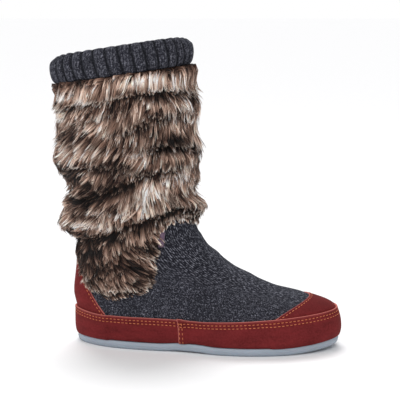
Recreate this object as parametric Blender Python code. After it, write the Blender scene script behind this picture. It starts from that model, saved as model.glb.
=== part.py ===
"""A slipper boot for the right foot: a knitted foot and shaft on a rubber outsole, a suede rand, toe cap
and heel counter, a slouched fur sleeve and a ribbed cuff.

Metres, +Z up, toe towards +X, the wearer's outer side towards -Y. The origin lies on the floor under the
heel.
"""

import math

import bmesh
import bpy
import numpy as np

# Foot
FOOT_LENGTH = 0.254  # knitted upper from heel to toe, at its fullest
BALL_WIDTH = 0.092  # knitted upper across the ball
THROAT_HEIGHT = 0.112  # floor to the bend between instep and shaft
HEEL_SETBACK = 0.045  # origin to the back of the heel
TOE_INSWING = 0.004  # how far the toe points towards the inner side

# Shaft
COLLAR_BACK_HEIGHT = 0.277
COLLAR_FRONT_HEIGHT = 0.296
SHAFT_DEPTH = 0.1235  # front to back, at the collar
SHAFT_WIDTH = 0.088
SHAFT_LEAN = 0.016  # how far the collar's middle lies behind the ankle's

# Walls and clearances
KNIT_WALL = 0.0025
SUEDE_WALL = 0.0015
RAND_WALL = 0.0018
FIT_GAP = 0.0003  # between pieces with matching facets
SEAT_GAP = 0.0005  # between what stands on the sole and the sole
SOFT_GAP = 0.0009  # between pieces whose facets differ
RAND_LAP = 0.006  # how far the front rand laps over the rear one

# Sole
SOLE_THICKNESS = 0.0075
SOLE_EDGE_RADIUS = 0.0035
ARCH_RISE = 0.0015
ARCH_SHARES = (0.34, 0.42, 0.48, 0.57)  # of the foot's length: arch starts, is full, and ends
TOE_SPRING = 0.005
SPRING_SHARE = 0.80  # of the foot's length, where the toe starts to lift
SPRING_CURVE = 1.6
TREAD_DEPTH = 0.001
TREAD_WIDTH = 0.003
TREAD_PITCH = 0.0125
TREAD_ZONES = ((0.06, 0.32), (0.58, 0.79))  # shares of the foot's length, from the heel
INSOLE_THICKNESS = 0.004
FEATHER_CURL = 0.003  # how far the upper's lower edge turns in

# Rand, toe cap and heel counter
RAND_HEEL_HEIGHT = 0.0385
RAND_SIDE_HEIGHT = 0.0315
RAND_TOE_HEIGHT = 0.0385
RAND_LOW_SHARE = 0.52  # of the foot's length, where the rand is lowest
RAND_SEAM_SHARE = 0.417  # of the foot's length, from the heel
CAP_SIDE_SHARE = 0.775
CAP_RIDGE_SHARE = 0.912
CAP_RIDGE_HEIGHT = 0.051
CAP_BOW = 0.06  # bow of the cap's edge, as a share of its run
COUNTER_SIDE_SHARE = 0.13
COUNTER_HEIGHT = 0.082
COUNTER_TOP_SHARE = 0.022
COUNTER_SWEEP = 1.7  # how sharply the counter's edge steepens
STEP_MARGIN = 0.012  # share of the foot's length that the rand runs on before it steps off cap or counter

# Fur sleeve
FUR_DEPTH = 0.0078  # between the folds
FUR_EDGE_DEPTH = 0.0025  # at the hem and the top edge
LOCK_LENGTH = 0.033
LOCK_WIDTH = 0.026
LOCK_RISE = 0.004
LOCK_COVER = 0.001  # sleeve left under the root of a lock
FOLD_BIAS = 0.15  # how much more the folds swell at the back than at the sides
LOCK_ROWS = 5
LOCKS_ROUND = 9
FIRST_LOCK_SHARE = 0.17  # of the sleeve's height
LOCK_PITCH_SHARE = 0.189  # of the sleeve's height, from row to row

# Cuff
CUFF_HEIGHT = 0.0235
CUFF_WALL = 0.0065
RIB_COUNT = 34
RIB_DEPTH = 0.0018

COLUMNS = 36  # corners round a section
SHARP_ANGLE = math.radians(40)  # edges sharper than this are shaded as edges
FUR_ROWS = 10  # sections of the sleeve's inside, with one more between each two of its outside

# Sole outline: half widths as shares of half the ball width, over a circle's own rounding.
#          along  outer  inner
OUTLINE = ((0.00, 0.84, 0.84),
           (0.10, 0.92, 0.92),
           (0.22, 0.87, 0.83),
           (0.40, 0.82, 0.70),
           (0.55, 0.96, 0.84),
           (0.66, 1.05, 1.02),
           (0.78, 1.09, 1.16),
           (0.90, 1.08, 1.28),
           (1.00, 1.05, 1.30))

# Rand sections: rise from sole to rand top, tuck in shares of the feather curl, and front end as a share of
# the foot's length.
#              rise  tuck   front
RAND_ROWS = ((0.00, 1.00, 1.000),
             (0.10, 0.30, 1.000),
             (0.32, 0.00, 1.000),
             (0.66, 0.00, 0.996),
             (1.00, 0.00, 0.985))

# Foot sections above the rand: x as shares of foot length, heights of throat height, width of ball width, and
# how much of the sole outline's shape each keeps.
#               back   front  back_z front_z sag    width  outline
FOOT_ROWS = ((-0.007, 0.978, 0.380, 0.370, -0.040, 0.965, 0.92),
             (-0.011, 0.949, 0.425, 0.400, -0.020, 0.900, 0.75),
             (-0.011, 0.880, 0.480, 0.446, -0.008, 0.835, 0.50),
             (-0.008, 0.775, 0.540, 0.507, 0.000, 0.790, 0.28),
             (-0.003, 0.672, 0.625, 0.613, 0.000, 0.765, 0.14),
             (0.003, 0.572, 0.735, 0.745, 0.000, 0.762, 0.04),
             (0.008, 0.502, 0.850, 0.890, 0.000, 0.780, 0.00),
             (0.011, 0.466, 0.955, 1.000, 0.000, 0.790, 0.00))

# Shaft sections: height as a share of the way from throat to knit top, then shares of lean, depth and width.
#               rise  lean  depth  width
SHAFT_ROWS = ((0.12, 0.27, 0.923, 0.845),
              (0.26, 0.46, 0.914, 0.880),
              (0.45, 0.66, 0.953, 0.925),
              (0.70, 0.85, 0.987, 0.975),
              (1.00, 1.00, 1.000, 1.000))

# Hem of the fur sleeve: angle from the heel in degrees, the same on both sides, and height as a share of
# the throat's.
#       angle  height
HEM = ((0, 0.690),
       (20, 0.600),
       (36, 0.470),
       (62, 0.485),
       (78, 0.560),
       (90, 0.675),
       (103, 0.830),
       (113, 0.985),
       (126, 1.085),
       (145, 1.125),
       (180, 1.060))

# Creases and rolls of the fur sleeve. Heights at front, outer side, back and inner side are shares of the
# collar's height at the back; swell and spread are shares of the fur's depth.
#         front  outer  back   inner  swell  spread
FOLDS = ((0.900, 0.865, 0.858, 0.870, -0.40, 0.9),
         (0.765, 0.787, 0.730, 0.770, -0.50, 1.0),
         (0.679, 0.675, 0.640, 0.670, 0.70, 1.6),
         (0.537, 0.568, 0.538, 0.560, -0.85, 0.9),
         (0.481, 0.507, 0.435, 0.500, 0.75, 1.5),
         (0.424, 0.438, 0.345, 0.430, -0.55, 0.8),
         (0.390, 0.345, 0.260, 0.340, 0.25, 1.5))

# Colours, as linear light
COLOURS = {"rubber": (0.42, 0.48, 0.57), "suede": (0.17, 0.018, 0.018), "wool": (0.040, 0.048, 0.066),
           "fur": (0.16, 0.115, 0.09), "felt": (0.30, 0.30, 0.32)}


def smooth_through(knots, values, at):
    """A smooth curve through the values at the knots, read at each place asked for.

    Values with a second axis hold one curve for each place, in the same order.
    """
    knots = np.asarray(knots, float)
    values = np.asarray(values, float)
    slopes = np.gradient(values, knots, axis=0)
    at = np.clip(np.asarray(at, float), knots[0], knots[-1])
    i = np.clip(np.searchsorted(knots, at, side="right") - 1, 0, len(knots) - 2)
    span = knots[i + 1] - knots[i]
    t = (at - knots[i]) / span
    low, high = i, i + 1
    if values.ndim > 1:
        column = np.arange(len(at))
        low, high = (i, column), (i + 1, column)
        shape = t.shape + (1,) * (values.ndim - 2)
        t, span = t.reshape(shape), span.reshape(shape)
    rest = 1 - t
    return (values[low] * rest * rest * (1 + 2 * t) + values[high] * t * t * (1 + 2 * rest)
            + span * t * rest * (slopes[low] * rest - slopes[high] * t))


def eased(value, start, end):
    """0 before start and 1 after end, with a smooth rise between."""
    t = np.clip((np.asarray(value, float) - start) / (end - start), 0, 1)
    return t * t * (3 - 2 * t)


def share_of(angle):
    """How far along a section a corner lies: 0 at the heel, 1 at the toe."""
    return (1 - np.cos(angle)) / 2


def angle_of(share):
    return math.acos(1 - 2 * share)


def station(share):
    """x at a share of the foot's length from the heel."""
    return share * FOOT_LENGTH - HEEL_SETBACK


def sole_floor(x):
    """Height of the outsole's underside: flat heel and forefoot, a shallow arch and a sprung toe."""
    along = (np.asarray(x, float) + HEEL_SETBACK) / FOOT_LENGTH
    start, full, ebb, end = ARCH_SHARES
    arch = ARCH_RISE * eased(along, start, full) * (1 - eased(along, ebb, end))
    spring = TOE_SPRING * np.clip((along - SPRING_SHARE) / (1 - SPRING_SHARE), 0, 1) ** SPRING_CURVE
    return arch + spring


def sole_top(x):
    return sole_floor(x) + SOLE_THICKNESS


def rand_top(share):
    """Height of the rand's upper edge above the floor."""
    back = np.clip(1 - share / RAND_LOW_SHARE, 0, 1)
    ahead = np.clip((share - RAND_LOW_SHARE) / (1 - RAND_LOW_SHARE), 0, 1)
    heel = (RAND_HEEL_HEIGHT - RAND_SIDE_HEIGHT) * back ** 2
    toe = (RAND_TOE_HEIGHT - RAND_SIDE_HEIGHT) * ahead ** 1.2
    return RAND_SIDE_HEIGHT + heel + toe


def fullness(angle, outline):
    """Half width of a section over a circle's: outline is 1 for the sole's shape and 0 for an ellipse."""
    along, outer, inner = np.array(OUTLINE).T
    share = share_of(angle)
    is_inner = angle > math.pi
    wide = np.where(is_inner, smooth_through(along, inner, share), smooth_through(along, outer, share))
    return 1 + outline * (wide - 1)


def section(angle, back, front, half_width, outline):
    """x and y of one section of the upper. The outer side comes first, at angles from 0 to pi."""
    share = share_of(angle)
    x = back + (front - back) * share
    toe = eased((x + HEEL_SETBACK) / FOOT_LENGTH, 0.35, 1.0)
    y = -half_width * np.sin(angle) * fullness(angle, outline) + TOE_INSWING * toe
    return x, y


def upper_rows(angle):
    """The sections of the knitted upper, from its lower edge to its top, as an array of rows of points."""
    share = share_of(angle)
    rows = []
    for rise, tuck, front in RAND_ROWS:
        inset = tuck * FEATHER_CURL
        x, y = section(angle, station(0) + inset, station(front) - inset, BALL_WIDTH / 2 - inset, 1.0)
        low = sole_top(x) + SEAT_GAP
        rows.append((x, y, low + rise * (rand_top(share) - low)))
    for back, front, back_z, front_z, sag, width, outline in FOOT_ROWS:
        x, y = section(angle, station(back), station(front), width * BALL_WIDTH / 2, outline)
        z = back_z + (front_z - back_z) * share + sag * 4 * share * (1 - share)
        rows.append((x, y, z * THROAT_HEIGHT))
    ankle = FOOT_ROWS[-1]
    middle = (station(ankle[0]) + station(ankle[1])) / 2
    for rise, lean, depth, width in SHAFT_ROWS:
        centre = middle - lean * SHAFT_LEAN
        half = depth * SHAFT_DEPTH / 2
        x, y = section(angle, centre - half, centre + half, width * SHAFT_WIDTH / 2, 0.0)
        back_z = (1 - rise) * ankle[2] * THROAT_HEIGHT + rise * (COLLAR_BACK_HEIGHT - CUFF_WALL)
        front_z = (1 - rise) * ankle[3] * THROAT_HEIGHT + rise * (COLLAR_FRONT_HEIGHT - CUFF_WALL)
        rows.append((x, y, back_z + (front_z - back_z) * share))
    return np.moveaxis(np.array(rows), 1, 2)


RAND_ROW = len(RAND_ROWS) - 1  # the section that follows the rand's upper edge
ANKLE_ROW = RAND_ROW + len(FOOT_ROWS)
TOP_ROW = ANKLE_ROW + len(SHAFT_ROWS)


def upper_surface(row, angle, off=0.0):
    """Points of the upper's outer surface, moved out by off. row counts sections, or parts of one."""
    angle = np.asarray(angle, float)
    row = np.broadcast_to(np.asarray(row, float), angle.shape)
    off = np.broadcast_to(np.asarray(off, float), angle.shape)
    knots = np.arange(TOP_ROW + 1)
    step = 1e-3
    table = upper_rows(angle)
    point = smooth_through(knots, table, row)
    around = (smooth_through(knots, upper_rows(angle + step), row)
              - smooth_through(knots, upper_rows(angle - step), row))
    up = smooth_through(knots, table, row + step) - smooth_through(knots, table, row - step)
    normal = np.cross(around, up)
    normal[:, 2] *= np.clip(row, 0, 1)
    normal /= np.linalg.norm(normal, axis=1)[:, None]
    return point + normal * off[:, None]


def row_at_height(angle, height):
    """Which section number the upper's surface has at each height, one for each angle."""
    knots = np.arange(TOP_ROW + 1)
    fine = np.linspace(0, TOP_ROW, 20 * TOP_ROW + 1)
    heights = upper_rows(angle)[:, :, 2]
    return np.array([np.interp(h, smooth_through(knots, heights[:, i], fine), fine)
                     for i, h in enumerate(height)])


def column_angles():
    """Corners round a section, with some moved onto the rand's seam and the ends of cap and counter."""
    angles = np.arange(COLUMNS) * 2 * math.pi / COLUMNS
    lap_share = RAND_SEAM_SHARE + RAND_LAP / FOOT_LENGTH
    taken = set()
    steps = (RAND_SEAM_SHARE, lap_share, COUNTER_SIDE_SHARE + STEP_MARGIN, CAP_SIDE_SHARE - STEP_MARGIN)
    for share in steps:
        angle = angle_of(share)
        order = np.argsort(np.abs(angles[:COLUMNS // 2] - angle))
        i = next(int(k) for k in order if int(k) not in taken and k > 0)
        taken.add(i)
        angles[i] = angle
        angles[COLUMNS - i] = 2 * math.pi - angle
    return np.sort(angles)


ANGLES = column_angles()


def material(name):
    made = bpy.data.materials.get(name)
    if made is None:
        made = bpy.data.materials.new(name)
        made.use_nodes = True
        shader = made.node_tree.nodes["Principled BSDF"]
        shader.inputs["Base Color"].default_value = (*COLOURS[name], 1)
        shader.inputs["Roughness"].default_value = 0.55 if name == "rubber" else 0.95
        shader.inputs["Metallic"].default_value = 0.0
    made.diffuse_color = (*COLOURS[name], 1)
    return made


def add_piece(name, points, faces, finish):
    """A closed mesh object with outward faces."""
    mesh = bpy.data.meshes.new(name)
    mesh.from_pydata([tuple(map(float, p)) for p in points], [], faces)
    work = bmesh.new()
    work.from_mesh(mesh)
    bmesh.ops.recalc_face_normals(work, faces=work.faces)
    work.to_mesh(mesh)
    work.free()
    mesh.materials.append(material(finish))
    mesh.shade_smooth()
    mesh.set_sharp_from_angle(angle=SHARP_ANGLE)
    made = bpy.data.objects.new(name, mesh)
    bpy.context.scene.collection.objects.link(made)
    return made


def ring_faces(points, rows, columns, closed=True):
    """Triangles between rows of corners. A closed grid joins its last column to its first.

    Each quad is split from its lower corner to the next column's upper one, so that surfaces with the same
    corners a little apart stay parallel.
    """
    across = columns if closed else columns - 1
    faces = []
    for r in range(rows - 1):
        for c in range(across):
            a = r * columns + c
            b = r * columns + (c + 1) % columns
            over_a, over_b = a + columns, b + columns
            if points[a][2] <= points[over_a][2]:
                faces += [(a, b, over_b), (a, over_b, over_a)]
            else:
                faces += [(a, b, over_a), (b, over_b, over_a)]
    return faces


def ring_solid(name, loops, finish):
    """A solid ring whose loops run round its cross-section and close on themselves."""
    loops = [*loops, loops[0]]
    columns = len(loops[0])
    points = np.concatenate(loops)
    count = len(points) - columns
    faces = [tuple(i % count for i in face) for face in ring_faces(points, len(loops), columns)]
    return add_piece(name, points[:count], faces, finish)


def slab_solid(name, loops, finish):
    """A solid between a first and a last loop, both filled by strips from the outer side to the inner."""
    columns = len(loops[0])
    points = np.concatenate(loops)
    faces = ring_faces(points, len(loops), columns)
    for base in (0, (len(loops) - 1) * columns):
        for c in range(columns // 2):
            a, b = base + c, base + c + 1
            far_a, far_b = base + (columns - c) % columns, base + columns - c - 1
            faces.append(tuple(dict.fromkeys((a, b, far_b, far_a))))
    return add_piece(name, points, faces, finish)


def boolean(made, other, operation):
    """Applies a Boolean and removes the other object."""
    other.hide_render = True
    other.display_type = "WIRE"
    step = made.modifiers.new(operation, "BOOLEAN")
    step.operation = operation
    step.solver = "EXACT"
    step.object = other
    graph = bpy.context.evaluated_depsgraph_get()
    mesh = bpy.data.meshes.new_from_object(made.evaluated_get(graph))
    made.modifiers.clear()
    made.data = mesh
    mesh.name = made.name
    bpy.data.objects.remove(other)
    return made


def side_prism(name, outline):
    """A prism across the boot, from a closed outline of x and z."""
    reach = 1.2 * BALL_WIDTH
    points = [(x, y, z) for y in (-reach, reach) for x, z in outline]
    n = len(outline)
    faces = [tuple(range(n)), tuple(range(2 * n - 1, n - 1, -1))]
    faces += [(i, (i + 1) % n, n + (i + 1) % n, n + i) for i in range(n)]
    return add_piece(name, points, faces, "suede")


def sole_loop(inset, height_above_floor):
    """One loop round the outsole, in from the rand's lower edge."""
    spread = 2 * FIT_GAP + SUEDE_WALL + RAND_WALL
    loop = upper_surface(np.zeros(COLUMNS), ANGLES, spread - inset)
    loop[:, 2] = sole_floor(loop[:, 0]) + height_above_floor
    return loop


def make_outsole():
    """A rubber sole with a rounded lower edge and straight grooves across heel and forefoot."""
    radius = SOLE_EDGE_RADIUS
    loops = [sole_loop(radius * (1 - math.sin(turn)), radius * (1 - math.cos(turn)))
             for turn in np.radians((0, 30, 60, 90))]
    loops.append(sole_loop(0.0, SOLE_THICKNESS))
    sole = slab_solid("outsole", loops, "rubber")
    for first, last in TREAD_ZONES:
        low, high = station(first) / TREAD_PITCH, station(last) / TREAD_PITCH
        for i in range(math.ceil(low), math.floor(high)):
            x = (i + 0.5) * TREAD_PITCH
            half, reach = TREAD_WIDTH / 2, BALL_WIDTH
            corners = [(x + sx * half, sy * reach, z) for z in (-TREAD_DEPTH, TREAD_DEPTH) for sx, sy in
                       ((-1, -1), (1, -1), (1, 1), (-1, 1))]
            faces = [(3, 2, 1, 0), (4, 5, 6, 7), (0, 1, 5, 4), (1, 2, 6, 5), (2, 3, 7, 6), (3, 0, 4, 7)]
            boolean(sole, add_piece("groove", corners, faces, "rubber"), "DIFFERENCE")
    return sole


def make_insole():
    """A felt footbed that lies on the outsole inside the knitted wall."""
    inset = -(KNIT_WALL + SOFT_GAP)

    def loop(row, height):
        made = upper_surface(np.full(COLUMNS, row), ANGLES, inset)
        made[:, 2] = sole_top(made[:, 0]) + SEAT_GAP + height
        return made

    return slab_solid("insole", [loop(0.0, 0.0), loop(0.0, INSOLE_THICKNESS * 0.6),
                                 loop(0.0, INSOLE_THICKNESS)], "felt")


def make_upper():
    """The knitted foot and shaft: one wall, open at the collar and underneath."""
    rows = np.arange(TOP_ROW + 1.0)
    outer = [upper_surface(np.full(COLUMNS, r), ANGLES) for r in rows]
    inner = [upper_surface(np.full(COLUMNS, r), ANGLES, -KNIT_WALL) for r in rows[::-1]]
    return ring_solid("knit_upper", outer + inner, "wool")


def suede_loop(row, angles, off):
    """One loop off the upper's surface, kept above the sole."""
    made = upper_surface(np.full(len(angles), row), angles, off)
    made[:, 2] = np.maximum(made[:, 2], sole_top(made[:, 0]) + SEAT_GAP)
    return made


def overlay_shell(name, top_row):
    """A suede skin over the foot, from the upper's own surface, before it is cut to shape."""
    rows = np.arange(0, top_row + 1.0)
    outer = [suede_loop(r, ANGLES, FIT_GAP + SUEDE_WALL) for r in rows]
    inner = [suede_loop(r, ANGLES, FIT_GAP) for r in rows[::-1]]
    return ring_solid(name, outer + inner, "suede")


def make_toe_cap():
    """The suede cap. Its edge slants up and forward from the rand to the ridge of the toe."""
    cap = overlay_shell("toe_cap", RAND_ROW + 5)
    side, ridge = station(CAP_SIDE_SHARE), station(CAP_RIDGE_SHARE)
    low, high = rand_top(CAP_SIDE_SHARE), CAP_RIDGE_HEIGHT
    bow = CAP_BOW * (ridge - side)
    edge = [(side + (ridge - side) * t - bow * math.sin(math.pi * t), low + (high - low) * t)
            for t in np.linspace(0, 1, 7)]
    edge.append((ridge + 0.2 * (ridge - side), THROAT_HEIGHT))
    beyond = station(1.2)
    return boolean(cap, side_prism("cap_cutter", [(side, -SOLE_THICKNESS), *edge, (beyond, THROAT_HEIGHT),
                                                  (beyond, -SOLE_THICKNESS)]), "INTERSECT")


def make_heel_counter():
    """The suede counter. Its edge sweeps up from the rand and steepens towards the back seam."""
    counter = overlay_shell("heel_counter", ANKLE_ROW)
    side, top = station(COUNTER_SIDE_SHARE), station(COUNTER_TOP_SHARE)
    low, high = rand_top(COUNTER_SIDE_SHARE), COUNTER_HEIGHT
    edge = [(top + (side - top) * (1 - t) ** COUNTER_SWEEP, low + (high - low) * t)
            for t in np.linspace(0, 1, 8)]
    beyond = station(-0.2)
    return boolean(counter, side_prism("counter_cutter", [(beyond, -SOLE_THICKNESS), (side, -SOLE_THICKNESS),
                                                          *edge, (beyond, high)]), "INTERSECT")


def rand_seat(angles, under_front):
    """How far off the knit the rand lies: over cap and counter, and over the rear rand at the lap."""
    share = share_of(angles)
    tiny = 1e-6
    behind = share <= COUNTER_SIDE_SHARE + STEP_MARGIN + tiny
    ahead = share >= CAP_SIDE_SHARE - STEP_MARGIN - tiny
    seat = np.where(behind | ahead, 2 * FIT_GAP + SUEDE_WALL, FIT_GAP)
    if under_front:
        lap_end = RAND_SEAM_SHARE + RAND_LAP / FOOT_LENGTH
        laps = (share >= RAND_SEAM_SHARE - tiny) & (share <= lap_end + tiny)
        seat = np.where(laps, 2 * FIT_GAP + RAND_WALL, seat)
    return seat


def make_rand(name, angles, laps):
    """One length of rand, as a strip with closed ends."""
    seat = rand_seat(angles, laps)
    rows = np.arange(0, RAND_ROW + 1.0)
    n = len(angles)
    loops = [suede_loop(r, angles, seat + RAND_WALL) for r in rows]
    loops += [suede_loop(r, angles, seat) for r in rows[::-1]]
    points = np.concatenate(loops)
    faces = ring_faces(points, len(loops), n, closed=False)
    last = (len(loops) - 1) * n
    faces += [(last + c, last + c + 1, c + 1, c) for c in range(n - 1)]
    for c in (0, n - 1):
        half = len(rows)
        faces += [(i * n + c, (i + 1) * n + c, (2 * half - 2 - i) * n + c, (2 * half - 1 - i) * n + c)
                  for i in range(half - 1)]
    return add_piece(name, points, faces, "suede")


def make_rands():
    """The rear rand round the heel, and the front one round the toe, lapped over its ends."""
    seam = angle_of(RAND_SEAM_SHARE)
    lap = angle_of(RAND_SEAM_SHARE + RAND_LAP / FOOT_LENGTH)
    tiny = 1e-6
    front = ANGLES[(ANGLES > seam - tiny) & (ANGLES < 2 * math.pi - seam + tiny)]
    inner = ANGLES[ANGLES > 2 * math.pi - lap - tiny] - 2 * math.pi
    around = np.concatenate([inner, ANGLES[ANGLES < lap + tiny]])
    make_rand("rand_rear", around, False)
    make_rand("rand_front", front, True)


def hem_height(angle):
    """Height of the fur sleeve's lower edge: low lobes over the ankle, high in front."""
    knots, shares = np.array(HEM).T
    folded = np.degrees(np.minimum(angle, 2 * math.pi - angle))
    return smooth_through(knots, shares, folded) * THROAT_HEIGHT


def round_the_leg(front, outer, back, inner, angle):
    """A height that passes smoothly through four given ones round the leg."""
    mean = (front + outer + back + inner) / 4
    return (mean + (back - front) / 2 * np.cos(angle) + (outer - inner) / 2 * np.sin(angle)
            + (front + back - outer - inner) / 4 * np.cos(2 * angle))


def cuff_foot(angle):
    """Height of the cuff's lower edge."""
    share = share_of(angle)
    return COLLAR_BACK_HEIGHT + (COLLAR_FRONT_HEIGHT - COLLAR_BACK_HEIGHT) * share - CUFF_HEIGHT


def fur_depth(angle, height):
    """Thickness of the fur sleeve with its creases and rolls."""
    depth = np.ones_like(height)
    bias = 1 + FOLD_BIAS * np.cos(angle)
    for front, outer, back, inner, swell, spread in FOLDS:
        middle = COLLAR_BACK_HEIGHT * round_the_leg(front, outer, back, inner, angle)
        depth += bias * swell * np.exp(-((height - middle) / (spread * FUR_DEPTH)) ** 2)
    depth *= FUR_DEPTH
    edge = np.minimum(height - hem_height(angle), cuff_foot(angle) - height)
    near = eased(edge, 0.0, 2 * FUR_DEPTH)
    return FUR_EDGE_DEPTH + np.maximum(0, depth - FUR_EDGE_DEPTH) * near


def fur_seat(knit):
    """How far off the knit the sleeve's inside lies: further out where the heel counter is under it."""
    side = station(COUNTER_SIDE_SHARE)
    behind = 1 - eased(knit[:, 0], side + FUR_DEPTH, side + 2 * FUR_DEPTH)
    below = 1 - eased(knit[:, 2], COUNTER_HEIGHT + FUR_DEPTH, COUNTER_HEIGHT + 3 * FUR_DEPTH)
    return SOFT_GAP + (FIT_GAP + SUEDE_WALL) * behind * below


def fur_points(angle, height, inside, extra=0.0):
    """Points of the sleeve's inner or outer face, moved out by extra but never into what it covers."""
    row = row_at_height(angle, height)
    seat = fur_seat(upper_surface(row, angle))
    depth = fur_depth(angle, height)
    lift = extra * np.minimum(1, depth / FUR_DEPTH)
    off = seat if inside else seat + np.maximum(LOCK_COVER, depth + lift)
    made = upper_surface(row, angle, off)
    made[:, 2] = height
    return made


def fur_loop(share, inside):
    """One loop of the sleeve, at a share of the way from its hem to its top."""
    low, high = hem_height(ANGLES), cuff_foot(ANGLES) - SOFT_GAP
    return fur_points(ANGLES, low + (high - low) * share, inside)


# One lock: three rings of four corners and a tip. Places down the lock are shares of its length, places across
# it of its width, and places out of the sleeve of its rise. The fourth corner of a ring is its root, deep in
# the sleeve.
#        down   across out
LOCK = ((0.00, -0.25, -0.60),
        (0.00, 0.00, -0.10),
        (0.00, 0.25, -0.60),
        (0.00, 0.00, -4.00),
        (0.38, -0.50, -0.35),
        (0.38, 0.00, 0.55),
        (0.38, 0.50, -0.35),
        (0.38, 0.00, -4.00),
        (0.72, -0.36, -0.10),
        (0.72, 0.00, 1.00),
        (0.72, 0.36, -0.10),
        (0.72, 0.00, -4.00),
        (1.00, 0.00, 0.75))
LOCK_FACES = ([(0, 1, 2, 3)] + [(r + i, r + 4 + i, r + 4 + (i + 1) % 4, r + (i + 1) % 4) for r in (0, 4)
                               for i in range(4)] + [(8 + i, 12, 8 + (i + 1) % 4) for i in range(4)])


def make_locks(name, rows):
    """Rows of locks, rooted in the sleeve and pointing down."""
    down, across, out = np.array(LOCK).T
    angles, heights = [], []
    for row in rows:
        for k in range(LOCKS_ROUND):
            angle = (k + 0.5 * (row % 2) + 0.25) * 2 * math.pi / LOCKS_ROUND
            share = FIRST_LOCK_SHARE + row * LOCK_PITCH_SHARE
            low, high = float(hem_height(np.array(angle))), float(cuff_foot(angle))
            angles.append(angle + across * LOCK_WIDTH / (SHAFT_DEPTH / 2))
            heights.append(low + (high - low) * share - down * LOCK_LENGTH)
    count = len(angles)
    rise = np.tile(out, count) * LOCK_RISE
    points = fur_points(np.concatenate(angles), np.concatenate(heights), False, rise)
    faces = [tuple(i + k * len(LOCK) for i in face) for k in range(count) for face in LOCK_FACES]
    return add_piece(name, points, faces, "fur")


def make_fur_sleeve():
    """The fur sleeve: a folded wall with rows of locks joined on."""
    outer = [fur_loop(s, False) for s in np.linspace(0, 1, 2 * FUR_ROWS - 1)]
    inner = [fur_loop(s, True) for s in np.linspace(1, 0, FUR_ROWS)]
    sleeve = ring_solid("fur_sleeve", outer + inner, "fur")
    for parity in (0, 1):
        boolean(sleeve, make_locks("locks", range(parity, LOCK_ROWS, 2)), "UNION")
    return sleeve


# Cross-section of the cuff: down from the collar's top as a share of the cuff's height, out from the knit as a
# share of the cuff's wall, and how much of a rib's depth it has.
#          down  out   ribbed
CUFF_ROWS = ((1.00, 0.55, 0.6),
             (0.85, 0.95, 1.0),
             (0.52, 1.12, 1.0),
             (0.20, 0.85, 1.0),
             (0.00, 0.15, 0.8))


def make_cuff():
    """The ribbed cuff: a thick knitted ring that caps the shaft's top and hangs over its outside."""
    per_rib = 3
    columns = RIB_COUNT * per_rib
    angles = np.arange(columns) * 2 * math.pi / columns
    rib = np.where(np.arange(columns) % per_rib == 0, -RIB_DEPTH, 0.0)
    foot = cuff_foot(angles)

    def loop(height, off):
        made = upper_surface(row_at_height(angles, height), angles, off)
        made[:, 2] = height
        return made

    knit_top = upper_rows(angles)[-1][:, 2] + SOFT_GAP
    loops = [loop(foot, SOFT_GAP)]
    loops += [loop(foot + (1 - down) * CUFF_HEIGHT, SOFT_GAP + out * CUFF_WALL + ribbed * rib)
              for down, out, ribbed in CUFF_ROWS]
    loops += [loop(foot + CUFF_HEIGHT - 0.4 * CUFF_WALL, -KNIT_WALL), loop(knit_top, -KNIT_WALL),
              loop(knit_top, SOFT_GAP)]
    return ring_solid("rib_cuff", loops, "wool")


def main():
    for old in list(bpy.data.objects):
        bpy.data.objects.remove(old, do_unlink=True)
    make_outsole()
    make_insole()
    make_upper()
    make_toe_cap()
    make_heel_counter()
    make_rands()
    make_fur_sleeve()
    make_cuff()


main()
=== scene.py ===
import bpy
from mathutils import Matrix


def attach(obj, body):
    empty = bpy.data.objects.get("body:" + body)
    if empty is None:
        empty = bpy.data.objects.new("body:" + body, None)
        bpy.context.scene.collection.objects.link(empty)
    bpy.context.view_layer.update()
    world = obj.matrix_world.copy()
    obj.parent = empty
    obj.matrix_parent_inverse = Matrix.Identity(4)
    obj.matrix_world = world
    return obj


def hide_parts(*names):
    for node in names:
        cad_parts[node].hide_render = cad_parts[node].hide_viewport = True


bl_info = {
    "name": "Slipper Boot",
    "version": (1, 0, 0),
    "blender": (4, 5, 0),
    "location": "3D View > Sidebar > Slipper Boot",
    "description": "Dresses a slipper boot in marl knit, suede, long pile and rubber",
    "category": "Object",
}

import math

import bpy
import numpy as np
from mathutils import Vector
from mathutils.kdtree import KDTree

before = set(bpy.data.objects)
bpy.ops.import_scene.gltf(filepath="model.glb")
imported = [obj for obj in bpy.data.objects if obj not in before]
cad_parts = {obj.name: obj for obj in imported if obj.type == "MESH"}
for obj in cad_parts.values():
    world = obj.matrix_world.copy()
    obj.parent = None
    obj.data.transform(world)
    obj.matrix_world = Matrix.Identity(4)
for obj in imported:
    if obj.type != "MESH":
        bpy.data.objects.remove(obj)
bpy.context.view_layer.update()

# The last: sizes in metres, the same as the solids that the pieces cover
FOOT_LENGTH = 0.254
BALL_WIDTH = 0.092
THROAT_HEIGHT = 0.112
HEEL_SETBACK = 0.045
TOE_INSWING = 0.004
INSWING_SHARE = 0.35  # of the foot's length, where it starts to turn in
COLLAR_BACK_HEIGHT = 0.277
COLLAR_FRONT_HEIGHT = 0.296
SHAFT_DEPTH = 0.1235
SHAFT_WIDTH = 0.088
SHAFT_LEAN = 0.016
KNIT_WALL = 0.0025
SUEDE_WALL = 0.0015
RAND_WALL = 0.0018
FIT_GAP = 0.0003
SEAT_GAP = 0.0005
SOFT_GAP = 0.0009
FEATHER_CURL = 0.003

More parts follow.
